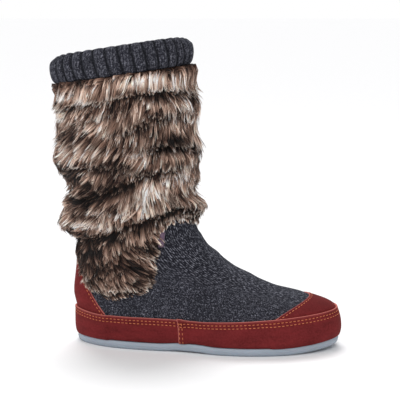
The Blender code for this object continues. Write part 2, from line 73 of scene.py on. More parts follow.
# Sole
SOLE_THICKNESS = 0.0075
SOLE_EDGE_RADIUS = 0.0035
ARCH_RISE = 0.0015
ARCH_SHARES = (0.34, 0.42, 0.48, 0.57)  # of the foot's length: arch starts, is full, and ends
TOE_SPRING = 0.005
SPRING_SHARE = 0.80
SPRING_CURVE = 1.6
TREAD_DEPTH = 0.001
TREAD_WIDTH = 0.003
TREAD_SLOPE = 0.0005  # from a groove's edge to its full depth
TREAD_PITCH = 0.0125
TREAD_ZONES = ((0.06, 0.32), (0.58, 0.79))
MOULD_LINE_SHARE = 0.62  # of the sole's thickness, where its moulding line runs
MOULD_LINE_RISE = 0.0002
INSOLE_THICKNESS = 0.004
INSOLE_DISH = 0.0008

# Rand, toe cap and heel counter
RAND_LAP = 0.006
RAND_HEEL_HEIGHT = 0.0385
RAND_SIDE_HEIGHT = 0.0315
RAND_TOE_HEIGHT = 0.0385
RAND_DIP = 0.0042  # how far the suede has sagged beside the heel
RAND_DIP_SHARES = (0.06, 0.20)  # of the foot's length: middle and half width of the sag
RAND_LOW_SHARE = 0.52
RAND_SEAM_SHARE = 0.417
CAP_SIDE_SHARE = 0.775
CAP_RIDGE_SHARE = 0.912
CAP_RIDGE_HEIGHT = 0.051
CAP_BOW = 0.06
COUNTER_SIDE_SHARE = 0.13
COUNTER_HEIGHT = 0.082
COUNTER_TOP_SHARE = 0.022
COUNTER_SWEEP = 1.7
STEP_MARGIN = 0.012
LAP_LIP = 0.0014  # how far the front rand's corner stands up at the lap

# Fur sleeve and cuff
FUR_DEPTH = 0.0078
FUR_EDGE_DEPTH = 0.0025
FOLD_BIAS = 0.15
CUFF_HEIGHT = 0.0235
CUFF_WALL = 0.0065
CUFF_ARCH = 0.0012  # how much higher the roll stands at the sides
CUFF_DROOP = 0.0042  # and how far it droops at the back and in front
RIB_COUNT = 34
RIB_DEPTH = 0.0018
RIB_VARIETY = 0.10  # how much the ribs differ in plumpness
INSIDE_RIB = 0.0006  # depth of the ribs inside the collar
RIB_LEAN = 0.085  # radians that a rib runs forward from the top of the cuff to its foot

# Sole outline: half widths as shares of half the ball width, over a circle's own rounding.
#          along  outer  inner
OUTLINE = ((0.00, 0.84, 0.84),
           (0.10, 0.92, 0.92),
           (0.22, 0.87, 0.83),
           (0.40, 0.82, 0.70),
           (0.55, 0.96, 0.84),
           (0.66, 1.05, 1.02),
           (0.78, 1.09, 1.16),
           (0.90, 1.08, 1.28),
           (1.00, 1.05, 1.30))

# Rand sections: rise from sole to rand top, tuck in shares of the feather curl, and front end as a share of
# the foot's length.
#              rise  tuck   front
RAND_ROWS = ((0.00, 1.00, 1.000),
             (0.10, 0.30, 1.000),
             (0.32, 0.00, 1.000),
             (0.66, 0.00, 0.996),
             (1.00, 0.00, 0.985))

# Foot sections above the rand: x as shares of foot length, heights of throat height, width of ball width,
# and how much of the sole outline's shape each keeps.
#               back   front  back_z front_z sag    width  outline
FOOT_ROWS = ((-0.007, 0.978, 0.380, 0.370, -0.040, 0.965, 0.92),
             (-0.011, 0.949, 0.425, 0.400, -0.020, 0.900, 0.75),
             (-0.011, 0.880, 0.480, 0.446, -0.008, 0.835, 0.50),
             (-0.008, 0.775, 0.540, 0.507, 0.000, 0.790, 0.28),
             (-0.003, 0.672, 0.625, 0.613, 0.000, 0.765, 0.14),
             (0.003, 0.572, 0.735, 0.745, 0.000, 0.762, 0.04),
             (0.008, 0.502, 0.850, 0.890, 0.000, 0.780, 0.00),
             (0.011, 0.466, 0.955, 1.000, 0.000, 0.790, 0.00))

# Shaft sections: height as a share of the way from throat to knit top, then shares of lean, depth and width.
#               rise  lean  depth  width
SHAFT_ROWS = ((0.12, 0.27, 0.923, 0.845),
              (0.26, 0.46, 0.914, 0.880),
              (0.45, 0.66, 0.953, 0.925),
              (0.70, 0.85, 0.987, 0.975),
              (1.00, 1.00, 1.000, 1.000))

RAND_ROW = len(RAND_ROWS) - 1
ANKLE_ROW = RAND_ROW + len(FOOT_ROWS)
TOP_ROW = ANKLE_ROW + len(SHAFT_ROWS)

# Hem of the fur sleeve, which frees more of the heel counter than the solid's hem does: angle from the heel
# in degrees, and height as a share of the throat's.
#       angle  height
HEM = ((0, 0.800),
       (14, 0.790),
       (26, 0.690),
       (36, 0.530),
       (48, 0.455),
       (62, 0.480),
       (78, 0.560),
       (90, 0.675),
       (103, 0.830),
       (113, 0.985),
       (126, 1.085),
       (145, 1.125),
       (180, 1.060))

# Creases and rolls of the sleeve. Heights are shares of the collar's height at the back; swell and spread
# are shares of the fur's depth.
#         front  outer  back   inner  swell  spread
FOLDS = ((0.900, 0.865, 0.858, 0.870, -0.40, 0.9),
         (0.765, 0.787, 0.730, 0.770, -0.50, 1.0),
         (0.679, 0.675, 0.640, 0.670, 0.70, 1.6),
         (0.537, 0.568, 0.538, 0.560, -0.85, 0.9),
         (0.481, 0.507, 0.435, 0.500, 0.75, 1.5),
         (0.424, 0.438, 0.345, 0.430, -0.55, 0.8),
         (0.390, 0.345, 0.260, 0.340, 0.25, 1.5))

# Where the pile parts. Each parting is a line round the leg: angle from the heel in degrees (over 180 is the
# inner side), height in millimetres, and how strongly the pile breaks there, from 0 to 1.
PARTINGS = (
    ((0, 229, 0.7), (26, 230, 0.9), (58, 236, 0.9), (86, 241, 0.9), (101, 245, 1.0), (116, 249, 1.0),
     (132, 250, 1.0), (157, 248, 0.9), (180, 245, 0.8), (225, 243, 0.9), (270, 239, 0.9), (315, 232, 0.8)),
    ((0, 196, 0.5), (32, 203, 0.7), (55, 215, 0.7), (74, 225, 0.6), (90, 231, 0.3), (110, 236, 0.0),
     (200, 224, 0.0), (235, 221, 0.8), (280, 211, 0.8), (325, 199, 0.7)),
    ((0, 200, 0.0), (85, 205, 0.0), (97, 211, 0.7), (115, 221, 0.9), (128, 227, 0.9), (145, 231, 0.6),
     (165, 229, 0.4), (185, 226, 0.0)),
    ((0, 190, 0.0), (95, 190, 0.0), (110, 195, 0.8), (127, 200, 1.0), (146, 199, 1.0), (160, 196, 0.9),
     (180, 192, 0.8), (215, 188, 0.8), (250, 184, 0.5), (280, 182, 0.0)),
    ((0, 166, 0.8), (15, 168, 0.9), (40, 174, 1.0), (64, 179, 1.0), (81, 182, 0.9), (96, 179, 0.8),
     (112, 174, 0.3), (125, 172, 0.0), (250, 174, 0.0), (290, 178, 0.8), (330, 171, 0.8)),
    ((0, 154, 1.0), (37, 150, 1.0), (53, 147, 1.0), (66, 149, 1.0), (84, 158, 1.0), (99, 166, 1.0),
     (109, 172, 1.0), (126, 176, 1.0), (142, 173, 0.7), (154, 170, 0.2), (168, 164, 0.4),
     (180, 158, 0.9), (225, 154, 1.0), (270, 153, 1.0), (315, 150, 1.0)),
    ((0, 103, 0.9), (49, 108, 1.0), (66, 113, 1.0), (80, 118, 1.0), (96, 125, 1.0), (116, 134, 1.0),
     (134, 141, 1.0), (152, 136, 1.0), (180, 130, 0.9), (225, 131, 1.0), (270, 124, 1.0), (315, 110, 1.0)),
)

# Light and dark places in the pile, partly its own brindled tone and partly painted light and shade
# on its folds and locks: angle in degrees, height in millimetres, half width and half height in
# millimetres, and tone from -1, dark, to 1, light.
PATCHES = (
    # Fringe under the cuff
    (49, 240, 15, 4, 1.2), (71, 247, 11, 5, 0.8), (92, 253, 11, 7, 1.0), (108, 256, 10, 7, 1.0),
    (126, 259, 13, 7, 1.0), (146, 256, 13, 7, 0.9), (67, 256, 8, 4, -0.8), (30, 248, 12, 6, 0.4),
    # From the fringe to the fold
    (112, 245, 9, 4, -0.8), (127, 241, 14, 3, -0.8), (153, 238, 12, 6, 0.9), (123, 235, 9, 5, 0.6),
    (72, 233, 10, 5, 0.9), (60, 224, 13, 6, 0.6), (36, 220, 12, 8, 0.7), (109, 227, 8, 5, 0.5),
    (140, 214, 8, 6, 0.8), (79, 213, 12, 8, 0.3), (129, 226, 8, 6, -0.6), (113, 218, 11, 6, -1.0),
    (98, 210, 9, 6, -0.8), (54, 203, 15, 8, -1.2), (143, 201, 15, 7, -1.0), (119, 194, 14, 5, -0.8),
    (87, 197, 9, 6, -1.1), (50, 187, 14, 6, 0.7), (78, 188, 9, 5, 0.2), (113, 188, 12, 5, 0.9),
    (135, 187, 9, 5, 0.7), (148, 168, 9, 6, 0.5), (36, 177, 12, 5, 0.3),
    (101, 248, 8, 4, -0.8), (103, 230, 11, 6, -0.8), (124, 209, 8, 5, -0.8), (150, 204, 10, 6, -0.8),
    (96, 180, 9, 5, -0.7), (140, 180, 12, 5, -1.0), (118, 262, 9, 4, 0.6), (72, 262, 9, 4, 0.5),
    (46, 232, 10, 4, -0.7),
    # Between the fold and the ankle
    (102, 160, 7, 5, -0.8), (91, 137, 8, 5, -0.6), (47, 133, 8, 5, -0.6), (60, 128, 8, 5, -0.9),
    (120, 150, 7, 6, 0.7), (115, 138, 8, 5, 0.8), (99, 130, 8, 4, 0.6), (56, 111, 7, 5, 0.7),
    (44, 166, 15, 8, -1.2), (66, 169, 8, 6, 0.1), (85, 174, 10, 8, -0.9), (116, 173, 12, 4, -1.0),
    (122, 162, 12, 6, 0.9), (143, 161, 11, 8, 0.9), (114, 155, 8, 5, 0.3), (68, 157, 18, 5, -1.0),
    (87, 155, 9, 9, -1.0), (57, 148, 14, 5, -1.0), (138, 150, 9, 6, -0.7), (106, 139, 7, 5, 0.6),
    (70, 140, 16, 8, -1.0), (80, 128, 12, 5, 0.2), (30, 130, 12, 8, 0.5), (134, 135, 14, 5, -1.0),
    # Over the ankle
    (72, 119, 13, 5, 0.9), (48, 117, 9, 5, 0.8), (117, 128, 13, 4, -1.0), (94, 120, 12, 4, -1.0),
    (74, 108, 14, 4, -1.0), (94, 109, 10, 5, 0.6), (36, 102, 8, 13, 0.5), (54, 95, 8, 13, -1.0),
    (68, 97, 7, 9, 0.6), (89, 94, 8, 8, 0.4), (102, 101, 8, 5, -1.0), (114, 105, 5, 8, 0.9),
    (98, 86, 9, 7, 1.0), (80, 82, 6, 5, -0.6), (88, 72, 12, 7, -1.0), (68, 72, 7, 5, 0.7),
    (50, 62, 9, 7, 1.0), (94, 60, 14, 4, 0.7), (108, 76, 6, 8, 0.9),
    # Inner side
    (350, 190, 14, 9, 0.5), (330, 205, 16, 7, -0.7), (300, 222, 16, 7, 0.7), (260, 200, 18, 8, -0.7),
    (240, 232, 14, 8, 0.6), (215, 205, 14, 8, 0.7), (195, 178, 14, 7, -0.6), (285, 165, 22, 6, -0.9),
    (250, 165, 18, 8, 0.8), (310, 135, 20, 7, 0.7), (280, 140, 18, 6, -0.5), (255, 118, 14, 7, 0.6),
    (290, 88, 12, 10, -0.9), (265, 75, 12, 7, 0.6), (315, 75, 12, 8, -0.6), (180, 215, 16, 8, 0.5),
    (178, 145, 16, 6, 0.3), (0, 135, 16, 8, 0.5), (0, 215, 14, 7, -0.5), (270, 250, 30, 7, 0.7),
    (220, 255, 25, 7, 0.7), (320, 245, 25, 6, 0.6),
)

# Where the pile stands further off or lies closer than its ground: angle in degrees, height in millimetres,
# half width in degrees, half height in millimetres, and millimetres off.
STANDS = ((0, 236, 50, 12, -2.5), (0, 218, 50, 12, -3.5), (0, 170, 50, 9, -4.5), (0, 155, 50, 7, -4.0),
          (10, 141, 45, 5, 3.5), (10, 119, 45, 7, 3.0), (0, 88, 60, 17, -8.5), (170, 232, 40, 13, 4.5),
          (170, 214, 40, 7, 2.5), (165, 262, 35, 5, 4.5))

# How far the pile is combed back from straight down, in degrees, by angle from the heel in degrees.
COMBING = ((0, 0), (22, 42), (45, 52), (72, 38), (95, 20), (130, 4), (155, -14), (180, 0))
ANKLE_COMBING = ((0, 0), (40, 14), (70, -4), (100, -38), (125, -50), (150, -30), (180, 0))

# Cross-section of the cuff: down from its top as a share of its height, out from the knit as a share of its
# wall, and how much of a rib's depth it has.
CUFF_PROFILE = ((1.000, 0.14, 0.2),
                (1.040, 0.44, 0.5),
                (0.985, 0.80, 0.8),
                (0.820, 1.10, 1.0),
                (0.560, 1.26, 1.0),
                (0.320, 1.20, 1.0),
                (0.125, 0.96, 1.0),
                (-0.010, 0.62, 1.0),
                (-0.070, 0.20, 0.9),
                (-0.030, -0.22, 0.6),
                (0.110, -0.385, 0.3),
                (0.238, -0.385, 0.0))

# The fold of ribbon under the sleeve's edge
TAG_ANGLE = math.radians(121)
TAG_TOP = 0.1150
TAG_LENGTH = 0.0140
TAG_WIDTH = 0.0040

# Lines of loops show where they are closer than the first of these, and fade out up to the second
WALE_SPACING = (0.0026, 0.0040)

# Soft creases of the knit in side view: x and height of each end in millimetres, half width and height of
# the ridge in millimetres, a trough where the height is below 0.
KNIT_CREASES = ((88, 118, 62, 96, 4.0, 0.9),
                (96, 108, 66, 84, 5.0, -0.8),
                (104, 100, 74, 74, 5.0, 0.7),
                (120, 88, 96, 62, 7.0, -0.5),
                (132, 80, 112, 54, 7.0, 0.5),
                (60, 74, 40, 52, 6.0, 0.5),
                (20, 60, 2, 40, 6.0, -0.5),
                (152, 68, 138, 48, 7.0, -0.4),
                (140, 66, 176, 47, 9.0, 1.3))

# Cut edges of the suede: out from its seat as a share of the wall, metres past the edge, and how pale it is.
#                 out   past     pale
OVERLAY_EDGE = ((0.93, 0.00025, 0.6),
                (0.70, 0.00042, 1.0),
                (0.35, 0.00048, 1.0),
                (0.00, 0.00040, 1.0))
RAND_EDGE = ((0.94, 0.00030, 0.5),
             (0.74, 0.00050, 0.9),
             (0.40, 0.00058, 1.0),
             (0.05, 0.00050, 0.8))

STITCH_ROWS = (0.0024, 0.0053)  # below the rand's upper edge
SEAM_STITCHES = (0.0016, 0.0046)  # in front of the rand's seam
EDGE_STITCH = 0.0021  # in from the edge of cap and counter
STITCH_PITCH = 0.0039
ROW_DRAW = 0.00034  # how far a row of stitches draws the suede in
ROW_DRAW_WIDTH = 0.00075
SEAM_DRAW = 0.0003
SEAM_DRAW_WIDTH = 0.0006
FIRST_STITCH = 0.0014  # of the front rand, in front of its seam
THREAD_SINK = 0.00015  # of the thread along the edge of cap and counter
RAND_WAVE = 0.0002  # unevenness of the rand's face

# How the pile grows
LOCK_COUNT = 1000
TUFT_COUNT = 7500
SHORTEST_STRAND = 0.006
HEM_FRINGE = 0.0035  # how far the longest strands hang past the hem
PARTING_LIFT = 0.0014  # how far the ends over a parting stand out
BRIM_RISE = (0.003, 0.002)  # of the pile under the cuff, and how much more its top layer rises
LOCK_GATHER = 0.32  # how close tufts lie to the middle of their lock, at their tips
TUFT_GATHER = 0.86
TUFT_REACH = 0.012  # strands gather only where their tips are nearer than this to the tuft's
GROUND_SHARE = 0.34  # of the pile's depth that its ground takes up
LEAST_PILE_DEPTH = 0.0045
BRIM_PILE_DEPTH = 0.0085  # under the cuff
ANKLE_SHORTENING = 0.45  # share of its length that the pile lacks over the ankle
ANKLE_BAND = (0.095, 0.132)  # heights between which the ankle's pile turns into the leg's

# Dye along a strand, from its root to its tip
#            share  colour
PILE_DYES = ((0.00, "#1d1412"),
             (0.28, "#4a332b"),
             (0.52, "#856859"),
             (0.76, "#bea393"),
             (1.00, "#f0e3d6"))

# Camera, as it fits the photograph
VIEW_AZIMUTH = math.radians(8)
VIEW_ELEVATION = math.radians(9)
VIEW_DISTANCE = 1.15
VIEW_TARGET = (0.0756, 0.0, 0.1415)
VIEW_WIDTH = 0.385  # of the frame, at the target's distance
SENSOR_WIDTH = 36.0

# Softboxes: place, diameter in metres, and share of the main one's power
SOFTBOXES = (("key_softbox", (0.30, -1.35, 1.20), 0.7, 1.0),
             ("fill_softbox", (-1.10, -1.10, 0.90), 1.0, 0.62))
CEILING_PLACE = (-0.15, 0.75, 1.8)
FLOOR_RADIUS = 90.0


def linear(code):
    """An sRGB hex colour as linear light."""
    channels = [int(code[i:i + 2], 16) / 255 for i in (1, 3, 5)]
    return tuple(c / 12.92 if c <= 0.04045 else ((c + 0.055) / 1.055) ** 2.4 for c in channels)


# The last


def smooth_through(knots, values, at):
    """A smooth curve through the values at the knots, read at each place asked for.

    Values with a second axis hold one curve for each place, in the same order.
    """
    knots = np.asarray(knots, float)
    values = np.asarray(values, float)
    slopes = np.gradient(values, knots, axis=0)
    at = np.clip(np.asarray(at, float), knots[0], knots[-1])
    i = np.clip(np.searchsorted(knots, at, side="right") - 1, 0, len(knots) - 2)
    span = knots[i + 1] - knots[i]
    t = (at - knots[i]) / span
    low, high = i, i + 1
    if values.ndim > 1:
        column = np.arange(len(at))
        low, high = (i, column), (i + 1, column)
        shape = t.shape + (1,) * (values.ndim - 2)
        t, span = t.reshape(shape), span.reshape(shape)
    rest = 1 - t
    return (values[low] * rest * rest * (1 + 2 * t) + values[high] * t * t * (1 + 2 * rest)
            + span * t * rest * (slopes[low] * rest - slopes[high] * t))


def eased(value, start, end):
    """0 before start and 1 after end, with a smooth rise between."""
    t = np.clip((np.asarray(value, float) - start) / (end - start), 0, 1)
    return t * t * (3 - 2 * t)


def share_of(angle):
    """How far along a section a corner lies: 0 at the heel, 1 at the toe."""
    return (1 - np.cos(angle)) / 2


def angle_of(share):
    """The angle, on the outer side, of a share of the way from heel to toe."""
    return math.acos(1 - 2 * share)


def station(share):
    """x at a share of the foot's length from the heel."""
    return share * FOOT_LENGTH - HEEL_SETBACK


def sole_floor(x):
    """Height of the outsole's underside: flat heel and forefoot, a shallow arch and a sprung toe."""
    along = (np.asarray(x, float) + HEEL_SETBACK) / FOOT_LENGTH
    start, full, ebb, end = ARCH_SHARES
    arch = ARCH_RISE * eased(along, start, full) * (1 - eased(along, ebb, end))
    spring = TOE_SPRING * np.clip((along - SPRING_SHARE) / (1 - SPRING_SHARE), 0, 1) ** SPRING_CURVE
    return arch + spring


def sole_top(x):
    """Height of the outsole's upper face."""
    return sole_floor(x) + SOLE_THICKNESS


def rand_top(share):
    """Height of the rand's upper edge above the floor."""
    back = np.clip(1 - share / RAND_LOW_SHARE, 0, 1)
    ahead = np.clip((share - RAND_LOW_SHARE) / (1 - RAND_LOW_SHARE), 0, 1)
    heel = (RAND_HEEL_HEIGHT - RAND_SIDE_HEIGHT) * back ** 2
    toe = (RAND_TOE_HEIGHT - RAND_SIDE_HEIGHT) * ahead ** 1.2
    middle, half_width = RAND_DIP_SHARES
    dip = RAND_DIP * np.exp(-((share - middle) / half_width) ** 2)
    return RAND_SIDE_HEIGHT + heel + toe - dip


def fullness(angle, outline):
    """Half width of a section over a circle's: outline is 1 for the sole's shape and 0 for an ellipse."""
    along, outer, inner = np.array(OUTLINE).T
    share = share_of(angle)
    is_inner = np.mod(angle, 2 * math.pi) > math.pi
    wide = np.where(is_inner, smooth_through(along, inner, share), smooth_through(along, outer, share))
    return 1 + outline * (wide - 1)


def section(angle, back, front, half_width, outline):
    """x and y of one section of the upper. The outer side comes first, at angles from 0 to pi."""
    share = share_of(angle)
    x = back + (front - back) * share
    toe = eased((x + HEEL_SETBACK) / FOOT_LENGTH, INSWING_SHARE, 1.0)
    y = -half_width * np.sin(angle) * fullness(angle, outline) + TOE_INSWING * toe
    return x, y


def upper_rows(angle):
    """The sections of the knitted upper, from its lower edge to its top, as an array of rows of points."""
    share = share_of(angle)
    rows = []
    for rise, tuck, front in RAND_ROWS:
        inset = tuck * FEATHER_CURL
        x, y = section(angle, station(0) + inset, station(front) - inset, BALL_WIDTH / 2 - inset, 1.0)
        low = sole_top(x) + SEAT_GAP
        rows.append((x, y, low + rise * (rand_top(share) - low)))
    for back, front, back_z, front_z, sag, width, outline in FOOT_ROWS:
        x, y = section(angle, station(back), station(front), width * BALL_WIDTH / 2, outline)
        z = back_z + (front_z - back_z) * share + sag * 4 * share * (1 - share)
        rows.append((x, y, z * THROAT_HEIGHT))
    ankle = FOOT_ROWS[-1]
    middle = (station(ankle[0]) + station(ankle[1])) / 2
    for rise, lean, depth, width in SHAFT_ROWS:
        centre = middle - lean * SHAFT_LEAN
        half = depth * SHAFT_DEPTH / 2
        x, y = section(angle, centre - half, centre + half, width * SHAFT_WIDTH / 2, 0.0)
        back_z = (1 - rise) * ankle[2] * THROAT_HEIGHT + rise * (COLLAR_BACK_HEIGHT - CUFF_WALL)
        front_z = (1 - rise) * ankle[3] * THROAT_HEIGHT + rise * (COLLAR_FRONT_HEIGHT - CUFF_WALL)
        rows.append((x, y, back_z + (front_z - back_z) * share))
    return np.moveaxis(np.array(rows), 1, 2)


def upper_frame(row, angle):
    """Points of the upper's outer surface, and the directions out of it.

    row counts sections, or parts of one.
    """
    angle = np.asarray(angle, float)
    row = np.broadcast_to(np.asarray(row, float), angle.shape)
    knots = np.arange(TOP_ROW + 1)
    step = 1e-3
    table = upper_rows(angle)
    point = smooth_through(knots, table, row)
    around = (smooth_through(knots, upper_rows(angle + step), row)
              - smooth_through(knots, upper_rows(angle - step), row))
    up = smooth_through(knots, table, row + step) - smooth_through(knots, table, row - step)
    normal = np.cross(around, up)
    normal[:, 2] *= np.clip(row, 0, 1)
    normal /= np.linalg.norm(normal, axis=1)[:, None]
    return point, normal


def upper_surface(row, angle, off=0.0):
    """Points of the upper's outer surface, moved out by off."""
    point, normal = upper_frame(row, angle)
    return point + normal * np.broadcast_to(np.asarray(off, float), point.shape[:1])[:, None]


def row_at_height(angle, height):
    """Which section number the upper's surface has at each height, one for each angle."""
    knots = np.arange(TOP_ROW + 1)
    fine = np.linspace(0, TOP_ROW, 20 * TOP_ROW + 1)
    heights = upper_rows(angle)[:, :, 2]
    return np.array([np.interp(h, smooth_through(knots, heights[:, i], fine), fine)
                     for i, h in enumerate(height)])


def hem_height(angle):
    """Height of the fur sleeve's lower edge: low lobes over the ankle, high in front."""
    knots, shares = np.array(HEM).T
    angle = np.mod(angle, 2 * math.pi)
    folded = np.degrees(np.minimum(angle, 2 * math.pi - angle))
    return smooth_through(knots, shares, folded) * THROAT_HEIGHT


def round_the_leg(front, outer, back, inner, angle):
    """A height that passes smoothly through four given ones round the leg."""
    mean = (front + outer + back + inner) / 4
    return (mean + (back - front) / 2 * np.cos(angle) + (outer - inner) / 2 * np.sin(angle)
            + (front + back - outer - inner) / 4 * np.cos(2 * angle))


def cuff_foot(angle):
    """Height of the cuff's lower edge."""
    return COLLAR_BACK_HEIGHT + (COLLAR_FRONT_HEIGHT - COLLAR_BACK_HEIGHT) * share_of(angle) - CUFF_HEIGHT


def fur_depth(angle, height):
    """Thickness of the fur sleeve with its creases and rolls."""
    depth = np.ones_like(height)
    bias = 1 + FOLD_BIAS * np.cos(angle)
    for front, outer, back, inner, swell, spread in FOLDS:
        middle = COLLAR_BACK_HEIGHT * round_the_leg(front, outer, back, inner, angle)
        depth += bias * swell * np.exp(-((height - middle) / (spread * FUR_DEPTH)) ** 2)
    depth *= FUR_DEPTH
    edge = np.minimum(height - hem_height(angle), cuff_foot(angle) - height)
    near = eased(edge, 0.0, 2 * FUR_DEPTH)
    return FUR_EDGE_DEPTH + np.maximum(0, depth - FUR_EDGE_DEPTH) * near


def fur_seat(knit):
    """How far off the knit the sleeve's inside lies: further out where the heel counter is under it."""
    side = station(COUNTER_SIDE_SHARE)
    behind = 1 - eased(knit[:, 0], side + FUR_DEPTH, side + 2 * FUR_DEPTH)
    below = 1 - eased(knit[:, 2], COUNTER_HEIGHT + FUR_DEPTH, COUNTER_HEIGHT + 3 * FUR_DEPTH)
    return SOFT_GAP + (FIT_GAP + SUEDE_WALL) * behind * below


# Meshes


def grid(rows, columns, close_rows=False, close_columns=False):
    """Quads of a grid of points, and the row and column of each of their corners."""
    r = np.arange(rows if close_rows else rows - 1)
    c = np.arange(columns if close_columns else columns - 1)
    r, c = np.meshgrid(r, c, indexing="ij")
    corner_rows = np.stack([r, r, r + 1, r + 1], -1).reshape(-1, 4)
    corner_columns = np.stack([c, c + 1, c + 1, c], -1).reshape(-1, 4)
    return (corner_rows % rows) * columns + corner_columns % columns, corner_rows, corner_columns


def grid_faces(*size, **closed):
    """The quads alone."""
    return grid(*size, **closed)[0]


def add_mesh(name, points, faces, finish, uv=None, values=None, colours=None, smooth=True):
    """A mesh object with its material, map and attributes."""
    mesh = bpy.data.meshes.new(name)
    faces = faces if isinstance(faces, list) else faces.tolist()
    mesh.from_pydata(np.asarray(points).tolist(), [], faces)
    if uv is not None:
        layer = mesh.uv_layers.new(name="knit")
        layer.data.foreach_set("uv", np.asarray(uv, np.float32).ravel())
    for label, numbers in (values or {}).items():
        layer = mesh.attributes.new(label, "FLOAT", "POINT")
        layer.data.foreach_set("value", np.asarray(numbers, np.float32).ravel())
    if colours is not None:
        layer = mesh.color_attributes.new("pile", "FLOAT_COLOR", "POINT")
        layer.data.foreach_set("color", np.asarray(colours, np.float32).ravel())
    mesh.materials.append(finish)
    if smooth:
        mesh.shade_smooth()
    made = bpy.data.objects.new(name, mesh)
    bpy.context.scene.collection.objects.link(made)
    return made


def belongs(piece, slot, *nodes):
    """The piece moves with the boot's one body and hides the solids it stands for; slot is not used."""
    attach(piece, "root")
    if nodes:
        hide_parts(*nodes)
    return piece


# Materials


def add_node(tree, kind, settings=None, inputs=None):
    """A node with its settings, and its inputs set to values or linked from sockets."""
    made = tree.nodes.new(kind)
    for name, value in (settings or {}).items():
        setattr(made, name, value)
    for name, value in (inputs or {}).items():
        if isinstance(value, bpy.types.NodeSocket):
            tree.links.new(value, made.inputs[name])
        else:
            made.inputs[name].default_value = value
    return made


def new_material(name, roughness, **fixed):
    """A material with one Principled shader, whose even values are set on its own sockets."""
    made = bpy.data.materials.new(name)
    made.use_nodes = True
    shader = made.node_tree.nodes["Principled BSDF"]
    shader.inputs["Roughness"].default_value = roughness
    for label, value in fixed.items():
        shader.inputs[label.replace("_", " ")].default_value = value
    return made, made.node_tree, shader


def mix_colours(tree, share, first, second, blend="MIX"):
    """The colour socket between two colours or sockets."""
    first, second = ((*c, 1.0) if isinstance(c, tuple) else c for c in (first, second))
    mixed = add_node(tree, "ShaderNodeMix", {"data_type": "RGBA", "blend_type": blend},
                     {0: share, 6: first, 7: second})
    return mixed.outputs[2]


def times(colour, factor):
    """A colour made darker or lighter."""
    return tuple(factor * c for c in colour)


def object_place(tree):
    """Where on the object each spot lies, in metres."""
    return add_node(tree, "ShaderNodeTexCoord").outputs["Object"]


def attribute(tree, name):
    """A number that the mesh holds at each point."""
    return add_node(tree, "ShaderNodeAttribute", {"attribute_name": name}).outputs["Fac"]


def noise(tree, place, scale, detail, roughness=0.5, distortion=0.0):
    """Random cloud, from 0 to 1."""
    made = add_node(tree, "ShaderNodeTexNoise", inputs={"Vector": place, "Scale": scale, "Detail": detail,
                                                        "Roughness": roughness, "Distortion": distortion})
    return made.outputs[0]


def ramp(tree, value, low, high, start=0.0, end=1.0):
    """A value's span from low to high, moved to the one from start to end."""
    made = add_node(tree, "ShaderNodeMapRange", inputs={"Value": value, "From Min": low, "From Max": high,
                                                        "To Min": start, "To Max": end})
    return made.outputs[0]


def arithmetic(tree, operation, *values):
    """One step of arithmetic on values or sockets."""
    return add_node(tree, "ShaderNodeMath", {"operation": operation}, dict(enumerate(values))).outputs[0]


def set_face(tree, shader, colour, height, strength, distance):
    """The shader's colour, and a fine relief that stands out by a distance in metres."""
    tree.links.new(colour, shader.inputs["Base Color"])
    bump = add_node(tree, "ShaderNodeBump", inputs={"Height": height, "Strength": strength,
                                                    "Distance": distance})
    tree.links.new(bump.outputs[0], shader.inputs["Normal"])


